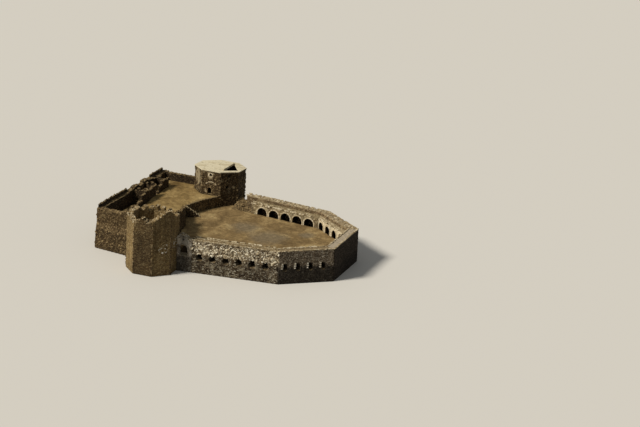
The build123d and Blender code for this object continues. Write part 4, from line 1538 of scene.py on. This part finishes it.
@dataclass
class Studio:
    """The plain floor, the soft light and the camera at the photograph's angle."""

    floor_size: float = 160.0
    floor_level: float = -0.001
    camera_place: Triple = (38.22509806, -87.84798546, 35.97069494)
    yaw: float = -0.36761416
    pitch: float = 0.34906585
    roll: float = 0.04661963
    focal_pixels: float = 3303.0148
    image_width: float = 640.0
    sun_towards: Triple = (-0.5, -0.53, 0.685)
    sun_strength: float = 3.5
    sun_spread: float = math.radians(14)
    sky_strength: float = 0.24

    def build(self) -> None:
        """Build the floor, the light and the camera."""
        self.build_floor()
        self.build_light()
        self.build_camera()

    def build_floor(self) -> None:
        """Lay a plain pale floor that throws little light back at the walls."""
        half = self.floor_size / 2
        mesh = bpy.data.meshes.new("studio_floor")
        sides = ((-half, -half), (half, -half), (half, half), (-half, half))
        mesh.from_pydata([(x, y, self.floor_level) for x, y in sides], [], [(0, 1, 2, 3)])
        floor = bpy.data.objects.new("studio_floor", mesh)
        bpy.context.scene.collection.objects.link(floor)
        material = bpy.data.materials.new("pale studio floor")
        material.use_nodes = True
        material.node_tree.nodes.clear()
        add = partial(add_node, material.node_tree)
        seen = add("ShaderNodeBsdfDiffuse", {"Color": linear("#d6d1c7")})
        unseen = add("ShaderNodeBsdfDiffuse", {"Color": linear("#6e675c")})
        rays = add("ShaderNodeLightPath").outputs
        indirect = {0: rays["Is Glossy Ray"], 1: rays["Is Transmission Ray"]}
        mirrored = add("ShaderNodeMath", indirect, operation="MAXIMUM")
        direct = add("ShaderNodeMath", {0: rays["Is Camera Ray"], 1: mirrored}, operation="MAXIMUM")
        mixed = add("ShaderNodeMixShader", {0: direct, 1: unseen, 2: seen})
        add("ShaderNodeOutputMaterial", {"Surface": mixed})
        mesh.materials.append(material)

    def build_light(self) -> None:
        """Set one broad soft lamp in the south-west and a dim even sky."""
        lamp = bpy.data.lights.new("broad_studio_lamp", "SUN")
        lamp.energy = self.sun_strength
        lamp.angle = self.sun_spread
        lamp.color = (1.0, 0.965, 0.9)
        sun = bpy.data.objects.new("broad_studio_lamp", lamp)
        sun.rotation_euler = Vector(self.sun_towards).to_track_quat("Z", "Y").to_euler()
        bpy.context.scene.collection.objects.link(sun)
        world = bpy.data.worlds.new("even_studio_sky")
        bpy.context.scene.world = world
        world.use_nodes = True
        world.node_tree.nodes.clear()
        add = partial(add_node, world.node_tree)
        sky = add("ShaderNodeBackground", {"Color": (0.9, 0.95, 1.0, 1.0), "Strength": self.sky_strength})
        backdrop = add("ShaderNodeBackground", {"Color": linear("#e4e0d8"), "Strength": 1.0})
        rays = add("ShaderNodeLightPath").outputs
        mixed = add("ShaderNodeMixShader", {0: rays["Is Camera Ray"], 1: sky, 2: backdrop})
        add("ShaderNodeOutputWorld", {"Surface": mixed})

    def build_camera(self) -> None:
        """Set the camera where the photograph was taken from."""
        level = math.cos(self.pitch)
        ahead = Vector((math.sin(self.yaw) * level, math.cos(self.yaw) * level, -math.sin(self.pitch)))
        sideways = Vector((math.cos(self.yaw), -math.sin(self.yaw), 0.0))
        above = sideways.cross(ahead)
        right = sideways * math.cos(self.roll) + above * math.sin(self.roll)
        up = above * math.cos(self.roll) - sideways * math.sin(self.roll)
        lens = bpy.data.cameras.new("photograph_camera")
        lens.sensor_fit = "HORIZONTAL"
        lens.sensor_width = 36.0
        lens.lens = self.focal_pixels / self.image_width * lens.sensor_width
        lens.clip_start = 1.0
        lens.clip_end = 500.0
        camera = bpy.data.objects.new("photograph_camera", lens)
        turned = Matrix((right, up, -ahead)).transposed().to_4x4()
        camera.matrix_world = Matrix.Translation(self.camera_place) @ turned
        bpy.context.scene.collection.objects.link(camera)
        bpy.context.scene.camera = camera


def main() -> None:
    """Load the frame, build each part of the castle in order and set the plain view transform."""
    logging.basicConfig(level=logging.INFO, format="%(name)s: %(message)s")
    for thing in list(bpy.data.objects):
        bpy.data.objects.remove(thing)
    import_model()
    mason = Mason()
    for part in (
        SeaBattery(mason),
        GateWall(mason),
        NorthTower(mason),
        SouthTower(mason),
        UpperCourt(mason),
        WestRange(mason),
        Studio(),
    ):
        part.build()
        log.info("%s is built", type(part).__name__)
    bpy.context.scene.view_settings.view_transform = "Standard"


if __name__ == "__main__":
    main()
